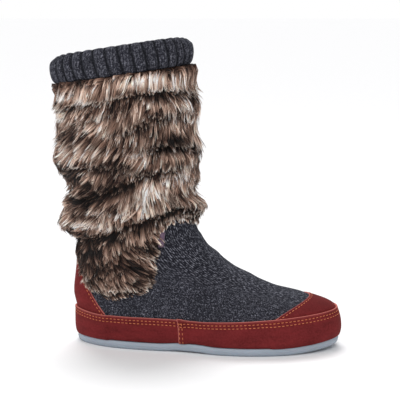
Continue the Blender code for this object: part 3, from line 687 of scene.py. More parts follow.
def marl_knit(settings):
    """Wool knit, spun from charcoal and pale fibres: a matt face with fine lines and pale flecks."""
    made, tree, shader = new_material("marl_wool_knit", 0.93, Sheen_Weight=0.12, Sheen_Roughness=0.6,
                                      Specular_IOR_Level=0.15)
    shader.inputs["Sheen Tint"].default_value = (*linear("#8a90a0"), 1)
    place = add_node(tree, "ShaderNodeUVMap", {"uv_map": "knit"}).outputs["UV"]
    body = object_place(tree)
    parts = add_node(tree, "ShaderNodeSeparateXYZ", inputs={0: place})
    across, along = parts.outputs["X"], parts.outputs["Y"]
    fleck = 1 / settings.fleck_size
    # Real flecks are fibres of a tenth of a millimetre; they are drawn as coarse as the picture can show
    grain = noise(tree, body, fleck, 1.0, 0.6, 0.6)
    speck = noise(tree, body, 0.55 * fleck, 3.0, 0.8, 0.4)
    dark, mid, pale = (linear(code) for code in ("#101017", "#23232b", "#7e7f8a"))
    colour = mix_colours(tree, ramp(tree, speck, 0.56, 0.36), mid, dark)
    colour = mix_colours(tree, ramp(tree, grain, 0.53, 0.78), colour, pale)
    colour = mix_colours(tree, ramp(tree, speck, 0.58, 0.76, end=0.7), colour, pale)
    # Wales: one line of loops for each unit across, with painted shade where two lines meet,
    # and flecks in long chains
    wave = arithmetic(tree, "SINE", arithmetic(tree, "MULTIPLY", across, math.pi))
    ridge = arithmetic(tree, "ABSOLUTE", wave)
    stretch = add_node(tree, "ShaderNodeMapping", inputs={"Vector": place, "Scale": (1.5, 0.55, 1.0)})
    chain = noise(tree, stretch.outputs[0], 1.0, 1.0, 0.6)
    lines = mix_colours(tree, ramp(tree, chain, 0.49, 0.67, end=0.9), linear("#191922"), linear("#888994"))
    lines = mix_colours(tree, ramp(tree, ridge, 0.80, 0.25), lines, dark)
    colour = mix_colours(tree, attribute(tree, "wales"), colour, lines)
    shade = ramp(tree, noise(tree, body, 55.0, 2.0), 0.3, 0.7, 0.82, 1.15)
    bright = add_node(tree, "ShaderNodeCombineColor", inputs={0: shade, 1: shade, 2: shade})
    colour = mix_colours(tree, 1.0, colour, bright.outputs[0], "MULTIPLY")
    # Painted shade: the gaps between the cuff's ribs are darkened nearly to black
    colour = mix_colours(tree, attribute(tree, "rib_gap_shade"), colour, linear("#08090e"))
    # Loops: each wale is a chain of slanting legs
    slant = arithmetic(tree, "MULTIPLY_ADD", ridge, 0.45, along)
    loops = arithmetic(tree, "SINE", arithmetic(tree, "MULTIPLY", slant, 2 * math.pi))
    raised = arithmetic(tree, "MULTIPLY_ADD", loops, 0.25, ridge)
    rough = arithmetic(tree, "MULTIPLY_ADD", grain, 1.2, raised)
    set_face(tree, shader, colour, rough, 0.7, 0.0004)
    return made


def brushed_suede(settings):
    """Cow suede, dyed dark red and brushed: a soft nap that shades in clouds, paler at a cut edge."""
    made, tree, shader = new_material("brushed_red_suede", 0.92, Sheen_Weight=0.14, Sheen_Roughness=0.45,
                                      Specular_IOR_Level=0.12)
    shader.inputs["Sheen Tint"].default_value = (*linear("#d06a60"), 1)
    body = object_place(tree)
    nap = noise(tree, body, 620.0, 3.0, 0.7)
    stroke = add_node(tree, "ShaderNodeMapping", inputs={"Vector": body, "Scale": (45.0, 60.0, 130.0)})
    cloud = noise(tree, stroke.outputs[0], 1.0, 3.0, 0.6)
    base = settings.suede_colour
    deep = times(base, 0.55)
    light = tuple(min(1.0, 1.45 * c + 0.012) for c in base)
    colour = mix_colours(tree, ramp(tree, cloud, 0.3, 0.72), times(base, 0.68), times(base, 1.30))
    fibres = mix_colours(tree, ramp(tree, nap, 0.35, 0.68), deep, light)
    colour = mix_colours(tree, 0.34, colour, fibres)
    # Painted shade: faces that turn upwards, as on the toe, are darkened towards the deep colour
    facing = add_node(tree, "ShaderNodeNewGeometry").outputs["Normal"]
    upward = add_node(tree, "ShaderNodeSeparateXYZ", inputs={0: facing}).outputs["Z"]
    colour = mix_colours(tree, ramp(tree, upward, 0.25, 0.85, end=0.42), colour, deep)
    colour = mix_colours(tree, attribute(tree, "cut_edge"), colour, linear("#cf7a70"))
    height = arithmetic(tree, "MULTIPLY_ADD", cloud, 0.6, nap)
    set_face(tree, shader, colour, height, 0.35, 0.0005)
    return made


def waxed_thread(settings):
    """Polyester sewing thread, waxed and twisted: a low gloss with darker turns."""
    made, tree, shader = new_material("waxed_tan_thread", 0.5, Specular_IOR_Level=0.4)
    fray = noise(tree, object_place(tree), 900.0, 1.0)
    base = settings.thread_colour
    colour = mix_colours(tree, fray, times(base, 0.62), times(base, 1.3))
    set_face(tree, shader, colour, fray, 0.4, 0.0002)
    return made


def moulded_rubber(settings):
    """Light foam rubber, moulded: even, dull and a little cloudy, with painted shade low on its edge."""
    made, tree, shader = new_material("moulded_blue_grey_rubber", 0.55, Specular_IOR_Level=0.4,
                                      Subsurface_Weight=0.08, Subsurface_Scale=0.004)
    body = object_place(tree)
    cloud = noise(tree, body, 60.0, 4.0)
    grain = noise(tree, body, 1500.0, 1.0)
    height = add_node(tree, "ShaderNodeSeparateXYZ", inputs={0: body}).outputs["Z"]
    base = settings.rubber_colour
    colour = mix_colours(tree, cloud, times(base, 0.9), times(base, 1.08))
    # Painted shade: the lowest few millimetres of the edge, near the floor, are darker
    colour = mix_colours(tree, ramp(tree, height, 0.004, 0.0, end=0.35), colour, times(base, 0.72))
    set_face(tree, shader, colour, grain, 0.15, 0.0002)
    return made


def wool_felt(settings):
    """Pressed wool felt: grey, with a fibrous face and no gloss."""
    made, tree, shader = new_material("pressed_grey_felt", 0.97, Specular_IOR_Level=0.1, Sheen_Weight=0.3)
    fibre = noise(tree, object_place(tree), 700.0, 4.0, distortion=1.2)
    base = settings.felt_colour
    colour = mix_colours(tree, fibre, times(base, 0.6), times(base, 1.3))
    set_face(tree, shader, colour, fibre, 0.5, 0.0006)
    return made


def satin_ribbon():
    """Woven polyester ribbon: plain mauve, with a soft satin gloss."""
    made, _, _ = new_material("mauve_satin_ribbon", 0.42, Base_Color=(*linear("#573f55"), 1),
                              Sheen_Weight=0.2)
    return made


def pile_backing():
    """The knitted ground of the fur fabric, dark brown, with the stubs of the underfur."""
    made, tree, shader = new_material("dark_brown_pile_ground", 0.95, Specular_IOR_Level=0.1)
    stubs = noise(tree, object_place(tree), 600.0, 2.0)
    colour = mix_colours(tree, stubs, linear("#1f1512"), linear("#4c372f"))
    set_face(tree, shader, colour, stubs, 0.8, 0.001)
    return made


def long_pile():
    """Long modacrylic pile, dyed by length: dark at the root and cream at the tip, with a soft gloss.

    Its colours also hold painted shadow below the partings and painted light and shade in patches.
    """
    made, tree, shader = new_material("long_brindled_pile", 0.66, Specular_IOR_Level=0.15, Sheen_Weight=0.1)
    dyed = add_node(tree, "ShaderNodeAttribute", {"attribute_name": "pile"}).outputs["Color"]
    tree.links.new(dyed, shader.inputs["Base Color"])
    return made


def seamless_paper():
    """A studio's matt white paper, under the boot and round it."""
    made, tree, shader = new_material("matt_white_paper", 0.9, Specular_IOR_Level=0.1)
    tooth = noise(tree, object_place(tree), 30.0, 2.0)
    colour = mix_colours(tree, tooth, linear("#fafafb"), linear("#fdfdfe"))
    tree.links.new(colour, shader.inputs["Base Color"])
    return made


FINISH_NAMES = {marl_knit: "marl_wool_knit", brushed_suede: "brushed_red_suede",
                waxed_thread: "waxed_tan_thread", moulded_rubber: "moulded_blue_grey_rubber",
                wool_felt: "pressed_grey_felt", satin_ribbon: "mauve_satin_ribbon",
                pile_backing: "dark_brown_pile_ground", long_pile: "long_brindled_pile",
                seamless_paper: "matt_white_paper"}


def finish(make, *settings):
    """One material for all the pieces that share it."""
    return bpy.data.materials.get(FINISH_NAMES[make]) or make(*settings)


# Sole


def groove_middles():
    """x of the middle of each groove in the tread."""
    middles = []
    for first, last in TREAD_ZONES:
        low, high = station(first) / TREAD_PITCH, station(last) / TREAD_PITCH
        middles += [(i + 0.5) * TREAD_PITCH for i in range(math.ceil(low), math.floor(high))]
    return middles


def sole_shares():
    """Stations of the sole: even round its ends, and close together at each groove."""
    shares = list(share_of(np.linspace(0, math.pi, 90)))
    half = TREAD_WIDTH / 2
    steps = (-half - 0.0003, -half, -half + TREAD_SLOPE, half - TREAD_SLOPE, half, half + 0.0003)
    for middle in groove_middles():
        shares += [(middle + step + HEEL_SETBACK) / FOOT_LENGTH for step in steps]
    return np.array(sorted(set(np.clip(shares, 0, 1))))


def groove_depth(x):
    """Depth of the tread at each x."""
    depth = np.zeros_like(x)
    for middle in groove_middles():
        wall = eased(np.abs(x - middle), TREAD_WIDTH / 2 - TREAD_SLOPE, TREAD_WIDTH / 2)
        depth = np.maximum(depth, TREAD_DEPTH * (1 - wall))
    return depth


def make_outsole(settings):
    """The rubber sole: a rounded edge with a moulding line, and grooves across heel and forefoot."""
    shares = sole_shares()
    half = np.arccos(1 - 2 * shares)
    angles = np.concatenate([half, 2 * math.pi - half[-2:0:-1]])
    columns = len(angles)
    spread = 2 * FIT_GAP + SUEDE_WALL + RAND_WALL
    base, outward = upper_frame(0.0, angles)
    outline = []
    for turn in np.linspace(0, math.pi / 2, 9):
        outline.append((SOLE_EDGE_RADIUS * (1 - math.sin(turn)), SOLE_EDGE_RADIUS * (1 - math.cos(turn))))
    line, bead = SOLE_THICKNESS * MOULD_LINE_SHARE, MOULD_LINE_RISE
    outline += [(0.0, line - 0.0005), (-bead, line - bead), (-bead, line + bead), (0.0, line + 0.0005)]
    outline += [(0.0, SOLE_THICKNESS - 0.0007), (0.0002, SOLE_THICKNESS - 0.0002), (0.0008, SOLE_THICKNESS)]
    loops = []
    for inset, rise in outline:
        loop = base + outward * (spread - inset)
        loop[:, 2] = sole_floor(loop[:, 0]) + rise
        loops.append(loop)
    points = np.concatenate(loops)
    faces = grid_faces(len(loops), columns, close_columns=True).tolist()
    # Underside and top are strips from the outer side to the inner, with points of their own between
    stations = len(half)
    across = 22
    for loop, depth, flip in ((loops[0], True, True), (loops[-1], False, False)):
        first = 0 if flip else (len(loops) - 1) * columns
        start = len(points)
        outer_side, inner_side = loop[:stations], loop[(-np.arange(stations)) % columns]
        t = np.linspace(0, 1, across + 1)[1:-1]
        inside = outer_side[:, None] + (inner_side - outer_side)[:, None] * t[None, :, None]
        inside[:, :, 2] = sole_floor(inside[:, :, 0]) + (0.0 if flip else SOLE_THICKNESS)
        if depth:
            rim = eased(np.minimum(t, 1 - t), 0.0, 0.10)[None, :]
            inside[:, :, 2] += groove_depth(inside[:, :, 0]) * rim
        points = np.concatenate([points, inside[1:-1].reshape(-1, 3)])

        def corner(s, k):
            """Number of the point k steps across at station s."""
            if s in (0, stations - 1):
                return first + s
            if k == 0:
                return first + s
            if k == across:
                return first + (columns - s) % columns
            return start + (s - 1) * (across - 1) + k - 1

        for s in range(stations - 1):
            for k in range(across):
                face = list(dict.fromkeys((corner(s, k), corner(s, k + 1), corner(s + 1, k + 1),
                                           corner(s + 1, k))))
                if len(face) > 2:
                    faces.append(face[::-1] if not flip else face)
    made = add_mesh("rubber_outsole", points, faces, finish(moulded_rubber, settings))
    made.data.set_sharp_from_angle(angle=math.radians(50))
    return belongs(made, "outsole_rubber", "outsole")


def make_insole(settings):
    """The felt footbed, a little dished at the heel."""
    inset = -(KNIT_WALL + SOFT_GAP)
    half = np.linspace(0, math.pi, 80)
    angles = np.concatenate([half, 2 * math.pi - half[-2:0:-1]])
    base = upper_surface(0.0, angles, inset)
    stations, columns, across = len(half), len(angles), 24
    t = np.linspace(0, 1, across + 1)
    outer_side, inner_side = base[:stations], base[(-np.arange(stations)) % columns]
    sheet = outer_side[:, None] + (inner_side - outer_side)[:, None] * t[None, :, None]
    middle = np.sin(math.pi * t)[None, :]
    sheets = []
    for lift, dish in ((SEAT_GAP, 0.0), (SEAT_GAP + INSOLE_THICKNESS, INSOLE_DISH)):
        layer = sheet.copy()
        layer[:, :, 2] = sole_top(sheet[:, :, 0]) + lift - dish * middle
        sheets.append(layer.reshape(-1, 3))
    faces = grid_faces(stations, across + 1)
    count = len(sheets[0])
    rim = [s * (across + 1) for s in range(stations)]
    rim += [s * (across + 1) + across for s in range(stations - 2, 0, -1)]
    sides = [[a, b, b + count, a + count] for a, b in zip(rim, rim[1:] + rim[:1])]
    faces = faces.tolist() + (faces[:, ::-1] + count).tolist() + [side[::-1] for side in sides]
    made = add_mesh("felt_insole", np.concatenate(sheets), faces, finish(wool_felt, settings))
    tidy = made.modifiers.new("one_skin", "WELD")
    tidy.merge_threshold = 0.00001
    apply_modifiers(made)
    made.data.set_sharp_from_angle(angle=math.radians(40))
    return belongs(made, "insole_felt", "insole")


def apply_modifiers(made):
    """Keeps the mesh as its modifiers leave it."""
    graph = bpy.context.evaluated_depsgraph_get()
    mesh = bpy.data.meshes.new_from_object(made.evaluated_get(graph))
    made.modifiers.clear()
    made.data = mesh


# Knit


def crease_height(points):
    """How far the knit stands out at each point for its soft creases, in metres."""
    rise = np.zeros(len(points))
    x, z = points[:, 0] * 1000, points[:, 2] * 1000
    for x0, z0, x1, z1, half_width, height in KNIT_CREASES:
        run = np.array((x1 - x0, z1 - z0), float)
        t = ((x - x0) * run[0] + (z - z0) * run[1]) / (run @ run)
        away = np.abs((x - x0) * run[1] - (z - z0) * run[0]) / np.linalg.norm(run)
        fade = eased(t, -0.25, 0.2) * (1 - eased(t, 0.8, 1.3))
        rise += height / 1000 * np.exp(-(away / half_width) ** 2) * fade
    return rise


def make_knit_upper(settings):
    """Foot and shaft: one knitted wall, open at the collar and underneath."""
    columns = 260
    angles = np.arange(columns) * 2 * math.pi / columns
    outer_rows = np.concatenate([np.linspace(0, ANKLE_ROW, 125), np.linspace(ANKLE_ROW, TOP_ROW, 26)[1:]])
    inner_rows = np.linspace(TOP_ROW, 0, 70)
    loops, wales = [], []
    travel = np.zeros(columns)
    heights, last = [], None
    for row in outer_rows:
        point, normal = upper_frame(row, angles)
        open_knit = eased(row, RAND_ROW, RAND_ROW + 2)
        loop = point + normal * (crease_height(point) * open_knit)[:, None]
        if last is not None:
            travel = travel + np.linalg.norm(loop - last, axis=1)
        last = loop
        heights.append(travel / settings.course_pitch)
        loops.append(loop)
        spacing = np.linalg.norm(np.roll(loop, -1, 0) - loop, axis=1) * columns / settings.wale_count
        wales.append(0.95 * (1 - eased(spacing, *WALE_SPACING)))
    ribs = INSIDE_RIB * np.cos(RIB_COUNT * angles)
    for row in inner_rows:
        near_top = eased(row, ANKLE_ROW + 2, TOP_ROW)
        loops.append(upper_surface(row, angles, -KNIT_WALL - near_top * (INSIDE_RIB + ribs)))
        heights.append(heights[-1] + 1.0)
        wales.append(np.full(columns, 0.8))
    faces, corner_rows, corner_columns = grid(len(loops), columns, True, True)
    across = corner_columns * settings.wale_count / columns
    heights.append(heights[-1] + 1.0)
    along = np.array(heights)[corner_rows, corner_columns % columns]
    made = add_mesh("knit_foot_and_shaft", np.concatenate(loops), faces, finish(marl_knit, settings),
                    uv=np.stack([across, along], -1), values={"wales": np.concatenate(wales)})
    return belongs(made, "wool_knit", "knit_upper")


def make_tag():
    """A plain fold of ribbon, sewn in under the sleeve's edge in front of the ankle."""
    lengths, widths = np.linspace(0, 1, 9), np.linspace(-0.5, 0.5, 5)
    loops = []
    for t in lengths:
        height = np.full(5, TAG_TOP - TAG_LENGTH * t)
        angles = TAG_ANGLE - 0.13 * t + widths * TAG_WIDTH / (0.5 * SHAFT_WIDTH)
        row = row_at_height(angles, height)
        lift = 0.0030 + 0.0012 * math.sin(3 * t) + 0.0008 * np.cos(5 * widths)
        face = upper_surface(row, angles, lift + 0.0003)
        back = upper_surface(row, angles, lift)
        loops.append(np.concatenate([face, back[::-1]]))
    faces = grid_faces(len(loops), 10, close_columns=True)
    last = 10 * (len(loops) - 1)
    ends = [list(range(9, -1, -1)), list(range(last, last + 10))]
    made = add_mesh("ribbon_fold", np.concatenate(loops), faces.tolist() + ends, finish(satin_ribbon))
    return belongs(made, "wool_knit")


def make_cuff(settings):
    """The ribbed cuff: a thick ring of rounded ribs that rolls over the shaft's top."""
    per_rib = 14
    columns = RIB_COUNT * per_rib
    angles = np.arange(columns) * 2 * math.pi / columns
    down, out, ribbed = np.array(CUFF_PROFILE).T
    knots = np.arange(len(CUFF_PROFILE))
    fine = np.linspace(0, len(CUFF_PROFILE) - 1, 60)
    down, out, ribbed = (smooth_through(knots, v, fine) for v in (down, out, ribbed))
    foot = cuff_foot(angles)
    rng = np.random.default_rng(5)
    plump = 1 + RIB_VARIETY * rng.standard_normal(RIB_COUNT)
    loops, travel, heights, rib_gap_shade = [], 0.0, [], []
    for i in range(len(fine)):
        turn = RIB_COUNT * (angles - RIB_LEAN * down[i] * np.sin(angles))
        valley = 1 - np.abs(np.sin(turn / 2)) ** 0.8
        which = np.floor(turn / (2 * math.pi)).astype(int) % RIB_COUNT
        swell = (plump[which] - 1) * np.sin(turn / 2) ** 2 * RIB_DEPTH * 2
        height = foot + (1 - down[i]) * CUFF_HEIGHT
        top = 1 - eased(down[i], -0.05, 0.25)
        height = height - top * ribbed[i] * 0.8 * RIB_DEPTH * valley
        height = height + top * (CUFF_ARCH - CUFF_DROOP * np.cos(angles) ** 8)
        row = row_at_height(angles, height) if i % 4 == 0 or i == len(fine) - 1 else None
        loops.append([height, out[i] * CUFF_WALL + ribbed[i] * (swell - 1.6 * RIB_DEPTH * valley), row])
        # Painted shade in the gaps between the ribs, darkest deep in each valley
        rib_gap_shade.append(0.9 * ribbed[i] * eased(valley, 0.30, 0.85))
    known = [i for i, loop in enumerate(loops) if loop[2] is not None]
    rows = np.array([loops[i][2] for i in known])
    rings = []
    for i, (height, off, _) in enumerate(loops):
        row = np.array([np.interp(i, known, rows[:, c]) for c in range(columns)])
        ring = upper_surface(row, angles, np.where(out[i] > 0, np.maximum(off, SOFT_GAP), off))
        ring[:, 2] = height
        rings.append(ring)
    knit_top = upper_rows(angles)[-1][:, 2] + SOFT_GAP
    last_row = np.full(columns, float(TOP_ROW))
    ring = upper_surface(last_row, angles, SOFT_GAP)
    ring[:, 2] = knit_top
    rings.append(ring)
    rib_gap_shade.append(np.zeros(columns))
    for i, ring in enumerate(rings):
        if i:
            travel += float(np.mean(np.linalg.norm(ring - rings[i - 1], axis=1)))
        heights.append(travel / settings.course_pitch)
    faces, corner_rows, corner_columns = grid(len(rings), columns, True, True)
    heights.append(heights[-1] + 1)
    uv = np.stack([corner_columns * 4.0 / per_rib, np.array(heights)[corner_rows]], -1)
    made = add_mesh("ribbed_cuff", np.concatenate(rings), faces, finish(marl_knit, settings), uv=uv,
                    values={"wales": np.full(len(rings) * columns, 0.35), "rib_gap_shade": np.concatenate(rib_gap_shade)})
    return belongs(made, "rib_knit", "rib_cuff")


# Suede


def cap_inside(x, z):
    """Over 0 in front of the toe cap's edge, in metres."""
    side, ridge = station(CAP_SIDE_SHARE), station(CAP_RIDGE_SHARE)
    low = rand_top(CAP_SIDE_SHARE)
    t = (z - low) / (CAP_RIDGE_HEIGHT - low)
    bow = CAP_BOW * (ridge - side) * np.sin(math.pi * np.clip(t, 0, 1))
    return x - (side + (ridge - side) * t - bow)


def counter_inside(x, z):
    """Over 0 behind the heel counter's edge, in metres."""
    side, top = station(COUNTER_SIDE_SHARE), station(COUNTER_TOP_SHARE)
    low = rand_top(COUNTER_SIDE_SHARE)
    t = np.clip((z - low) / (COUNTER_HEIGHT - low), 0, 1)
    edge = top + (side - top) * (1 - t) ** COUNTER_SWEEP
    return np.minimum(edge - x, COUNTER_HEIGHT - z)


def edge_rows(angles, inside, start, stop):
    """At each angle, the row where the overlay's edge crosses, or start where it is already past it."""
    fine = np.linspace(start, stop, 400)
    knots = np.arange(TOP_ROW + 1)
    table = upper_rows(angles)
    found = []
    for i in range(len(angles)):
        line = np.stack([smooth_through(knots, table[:, i, k], fine) for k in (0, 2)], -1)
        value = inside(line[:, 0], line[:, 1])
        out = np.nonzero(value < 0)[0]
        if len(out) == 0:
            found.append(stop)
        elif out[0] == 0:
            found.append(start)
        else:
            j = out[0]
            found.append(fine[j - 1] + (fine[j] - fine[j - 1]) * value[j - 1] / (value[j - 1] - value[j]))
    return np.array(found)


def overlay_edge(inside):
    """Angles that an overlay spans, from just under the rand on one side to the other, and its edge rows."""
    if inside is cap_inside:
        first, last, stop = angle_of(CAP_SIDE_SHARE - 0.04), math.pi, RAND_ROW + 6
    else:
        first, last, stop = angle_of(COUNTER_SIDE_SHARE + 0.05), 0.0, ANKLE_ROW
    angles = np.linspace(first, last, 240)
    edge = edge_rows(angles, inside, 2.0, stop)
    half = np.linspace(angles[int(np.argmax(edge > RAND_ROW - 0.6))], last, 110)
    if inside is cap_inside:
        angles = np.concatenate([half, 2 * math.pi - half[-2::-1]])
    else:
        angles = np.concatenate([-half, half[-2::-1]])
    return angles, edge_rows(angles, inside, 2.0, stop)


def add_strip(name, loops, cut, settings, node):
    """A piece of suede from loops that go once round its thickness, with closed ends."""
    columns = len(loops[0])
    faces = grid_faces(len(loops), columns, close_rows=True).tolist()
    for c in (0, columns - 1):
        ends = [r * columns + c for r in range(len(loops))]
        faces.append(ends if c else ends[::-1])
    made = add_mesh(name, np.concatenate(loops), faces, finish(brushed_suede, settings),
                    values={"cut_edge": cut})
    made.data.set_sharp_from_angle(angle=math.radians(60))
    return belongs(made, "suede", node)


def make_overlay(name, inside, settings, node):
    """Toe cap or heel counter, from under the rand up to its own edge, which is cut and rounded."""
    angles, edge = overlay_edge(inside)
    start = 1.0
    shares = np.concatenate([np.linspace(0, 0.9, 34), np.linspace(0.9, 1, 10)[1:]])
    loops = [upper_surface(start + (edge - start) * s, angles, FIT_GAP + SUEDE_WALL) for s in shares]
    cut = [0.0] * (len(shares) - 1) + [0.25]
    point, normal = upper_frame(edge, angles)
    up = upper_frame(edge + 0.02, angles)[0] - point
    up /= np.linalg.norm(up, axis=1)[:, None]
    for out, past, pale in OVERLAY_EDGE:
        loops.append(point + normal * (FIT_GAP + SUEDE_WALL * out) + up * past)
        cut.append(pale)
    for s in shares[::-3]:
        loops.append(upper_surface(start + (edge - start) * s, angles, FIT_GAP))
        cut.append(0.3)
    return add_strip(name, loops, np.repeat(cut, len(angles)), settings, node)


def rand_seat(angles, under_front):
    """How far off the knit the rand lies: over cap and counter, and over the rear rand at the lap."""
    share = share_of(angles)
    margin = STEP_MARGIN
    behind = 1 - eased(share, COUNTER_SIDE_SHARE + 0.3 * margin, COUNTER_SIDE_SHARE + 1.6 * margin)
    ahead = eased(share, CAP_SIDE_SHARE - 1.6 * margin, CAP_SIDE_SHARE - 0.3 * margin)
    seat = FIT_GAP + (FIT_GAP + SUEDE_WALL) * np.maximum(behind, ahead)
    if under_front:
        lap = RAND_LAP / FOOT_LENGTH
        over = 1 - eased(share, RAND_SEAM_SHARE + 0.85 * lap, RAND_SEAM_SHARE + 1.7 * lap)
        seat = np.maximum(seat, FIT_GAP + (FIT_GAP + RAND_WALL) * over)
    return seat


def rand_columns(first, last, count):
    """Angles along a rand, with extra ones close to both ends."""
    near = np.array((0.0, 0.00015, 0.0004, 0.0008, 0.0011, 0.0016)) / (FOOT_LENGTH / 2)
    middle = np.linspace(first + near[-1] * 1.6, last - near[-1] * 1.6, count)
    return np.concatenate([first + near, middle, last - near[::-1]])


def make_rand(name, angles, over_rear, settings, node):
    """One length of rand. Two rows of stitches draw it in below its rounded, pale upper edge."""
    seat = rand_seat(angles, over_rear)
    share = share_of(angles)
    top = rand_top(share)
    from_end = np.minimum(angles - angles[0], angles[-1] - angles) * FOOT_LENGTH / 2
    end_share = np.clip(from_end / 0.0015, 0, 1)
    end_wall = 0.35 + 0.65 * np.sqrt(1 - (1 - end_share) ** 2)
    lap = RAND_LAP / FOOT_LENGTH
    lip = np.zeros_like(share)
    if over_rear:
        lip = LAP_LIP * (1 - eased(share, RAND_SEAM_SHARE + 0.5 * lap, RAND_SEAM_SHARE + 1.8 * lap))
    loops, cut = [], []
    for s in np.concatenate([np.linspace(0, 0.72, 26), np.linspace(0.72, 1, 34)[1:]]):
        row = s * RAND_ROW
        point, normal = upper_frame(row, angles)
        below = top - point[:, 2]
        wall = RAND_WALL * end_wall
        for depth in STITCH_ROWS:
            wall = wall - ROW_DRAW * np.exp(-((below - depth) / ROW_DRAW_WIDTH) ** 2)
        if over_rear:
            for ahead in SEAM_STITCHES:
                run = (share - RAND_SEAM_SHARE) * FOOT_LENGTH
                wall = wall - SEAM_DRAW * np.exp(-((run - ahead) / SEAM_DRAW_WIDTH) ** 2)
        wall = wall + RAND_WAVE * np.sin(angles * 9 + 3) * np.sin(math.pi * s)
        loop = point + normal * (seat + wall)[:, None]
        loop[:, 2] = np.maximum(loop[:, 2] + lip * s ** 6, sole_top(loop[:, 0]) + 0.5 * SEAT_GAP)
        loops.append(loop)
        cut.append(0.95 * (1 - end_share) + 0.10 * eased(s, 0.95, 1.0))
    point, normal = upper_frame(float(RAND_ROW), angles)
    for out, past, pale in RAND_EDGE:
        loop = point + normal * (seat + RAND_WALL * end_wall * out)[:, None]
        loop[:, 2] += past + lip
        loops.append(loop)
        cut.append(np.full(len(angles), pale))
    for s in np.linspace(1, 0, 12):
        point, normal = upper_frame(s * RAND_ROW, angles)
        loop = point + normal * seat[:, None]
        loop[:, 2] = np.maximum(loop[:, 2], sole_top(loop[:, 0]) + 0.5 * SEAT_GAP)
        loops.append(loop)
        cut.append(np.full(len(angles), 0.3))
    return add_strip(name, loops, np.concatenate(cut), settings, node)


def make_rands(settings):
    """The rear rand round the heel and the front one round the toe."""
    seam = angle_of(RAND_SEAM_SHARE)
    lap = angle_of(RAND_SEAM_SHARE + RAND_LAP / FOOT_LENGTH)
    make_rand("suede_rand_rear", rand_columns(-lap, lap, 190), False, settings, "rand_rear")
    make_rand("suede_rand_front", rand_columns(seam, 2 * math.pi - seam, 250), True, settings, "rand_front")


# Stitching


def line_inside(edge, normal, inset):
    """A line of stitches set in from an edge that runs heel to toe or round the toe."""
    along = np.gradient(edge, axis=0)
    along /= np.linalg.norm(along, axis=1)[:, None]
    inward = np.cross(along, normal)
    inward /= np.linalg.norm(inward, axis=1)[:, None]
    return edge + inward * inset


def stitches_along(line, normal, settings):
    """Ends and outward directions of stitches spaced evenly along a line."""
    step = np.linalg.norm(np.diff(line, axis=0), axis=1)
    travel = np.concatenate([[0], np.cumsum(step)])
    count = int(travel[-1] / settings.stitch_pitch)
    middles = (np.arange(count) + 0.5) * travel[-1] / count
    half = settings.stitch_length / 2

    def at(values, places):
        """Places or directions at distances along the line."""
        return np.stack([np.interp(places, travel, values[:, k]) for k in range(3)], -1)

    return at(line, middles - half), at(line, middles + half), at(normal, middles)


def make_stitching(settings):
    """All the stitches of the suede, as one mesh of short waxed threads that dip into it at both ends."""
    runs = []
    seam = angle_of(RAND_SEAM_SHARE)
    lap_end = angle_of(RAND_SEAM_SHARE + FIRST_STITCH / FOOT_LENGTH)
    for first, last, over in ((-seam + 0.01, seam - 0.012, False), (lap_end, 2 * math.pi - lap_end, True)):
        angles = np.linspace(first, last, 420)
        share = share_of(angles)
        for depth in STITCH_ROWS:
            row = row_at_height(angles, rand_top(share) - depth)
            point, normal = upper_frame(row, angles)
            off = rand_seat(angles, over) + RAND_WALL - ROW_DRAW
            runs.append((point + normal * off[:, None], normal))
    for side in (1, -1):
        for ahead in SEAM_STITCHES:
            angle = side * angle_of(RAND_SEAM_SHARE + ahead / FOOT_LENGTH)
            rows = np.linspace(0.35, RAND_ROW - 0.12, 60)
            angles = np.full(60, angle)
            point, normal = upper_frame(rows, angles)
            off = rand_seat(angles, True) + RAND_WALL - SEAM_DRAW
            runs.append((point + normal * off[:, None], normal))
    for inside in (cap_inside, counter_inside):
        angles, edge = overlay_edge(inside)
        point, normal = upper_frame(edge, angles)
        face = point + normal * (FIT_GAP + SUEDE_WALL - THREAD_SINK)
        shown = edge > RAND_ROW - 0.1
        line = line_inside(face, normal, EDGE_STITCH)
        runs.append((line[shown], normal[shown]))
    starts, ends, outs = (np.concatenate(parts) for parts in
                          zip(*(stitches_along(line, normal, settings) for line, normal in runs)))
    along = ends - starts
    along /= np.linalg.norm(along, axis=1)[:, None]
    side = np.cross(outs, along)
    rings, sides = 7, 6
    radius = settings.thread_thickness / 2
    t = np.linspace(0, 1, rings)
    girth = radius * np.sqrt(np.clip(1 - (2 * t - 1) ** 6, 0.06, 1))
    rise = radius * (0.9 * np.sin(math.pi * t) ** 0.7 - 0.45)
    turn = np.arange(sides) * 2 * math.pi / sides
    points = (starts[:, None, None] + (ends - starts)[:, None, None] * t[None, :, None, None]
              + outs[:, None, None] * (rise[None, :, None] + girth[None, :, None] * np.sin(turn))[..., None]
              + side[:, None, None] * (girth[None, :, None] * np.cos(turn))[..., None])
    count = len(starts)
    tube = grid_faces(rings, sides, close_columns=True)
    base = (np.arange(count) * rings * sides)[:, None, None]
    faces = (tube[None] + base).reshape(-1, 4).tolist()
    for k in range(count):
        first, last = k * rings * sides, k * rings * sides + (rings - 1) * sides
        faces.append([first + j for j in range(sides)][::-1])
        faces.append([last + j for j in range(sides)])
    made = add_mesh("tan_stitching", points.reshape(-1, 3), faces, finish(waxed_thread, settings))
    return belongs(made, "suede")


# Fur


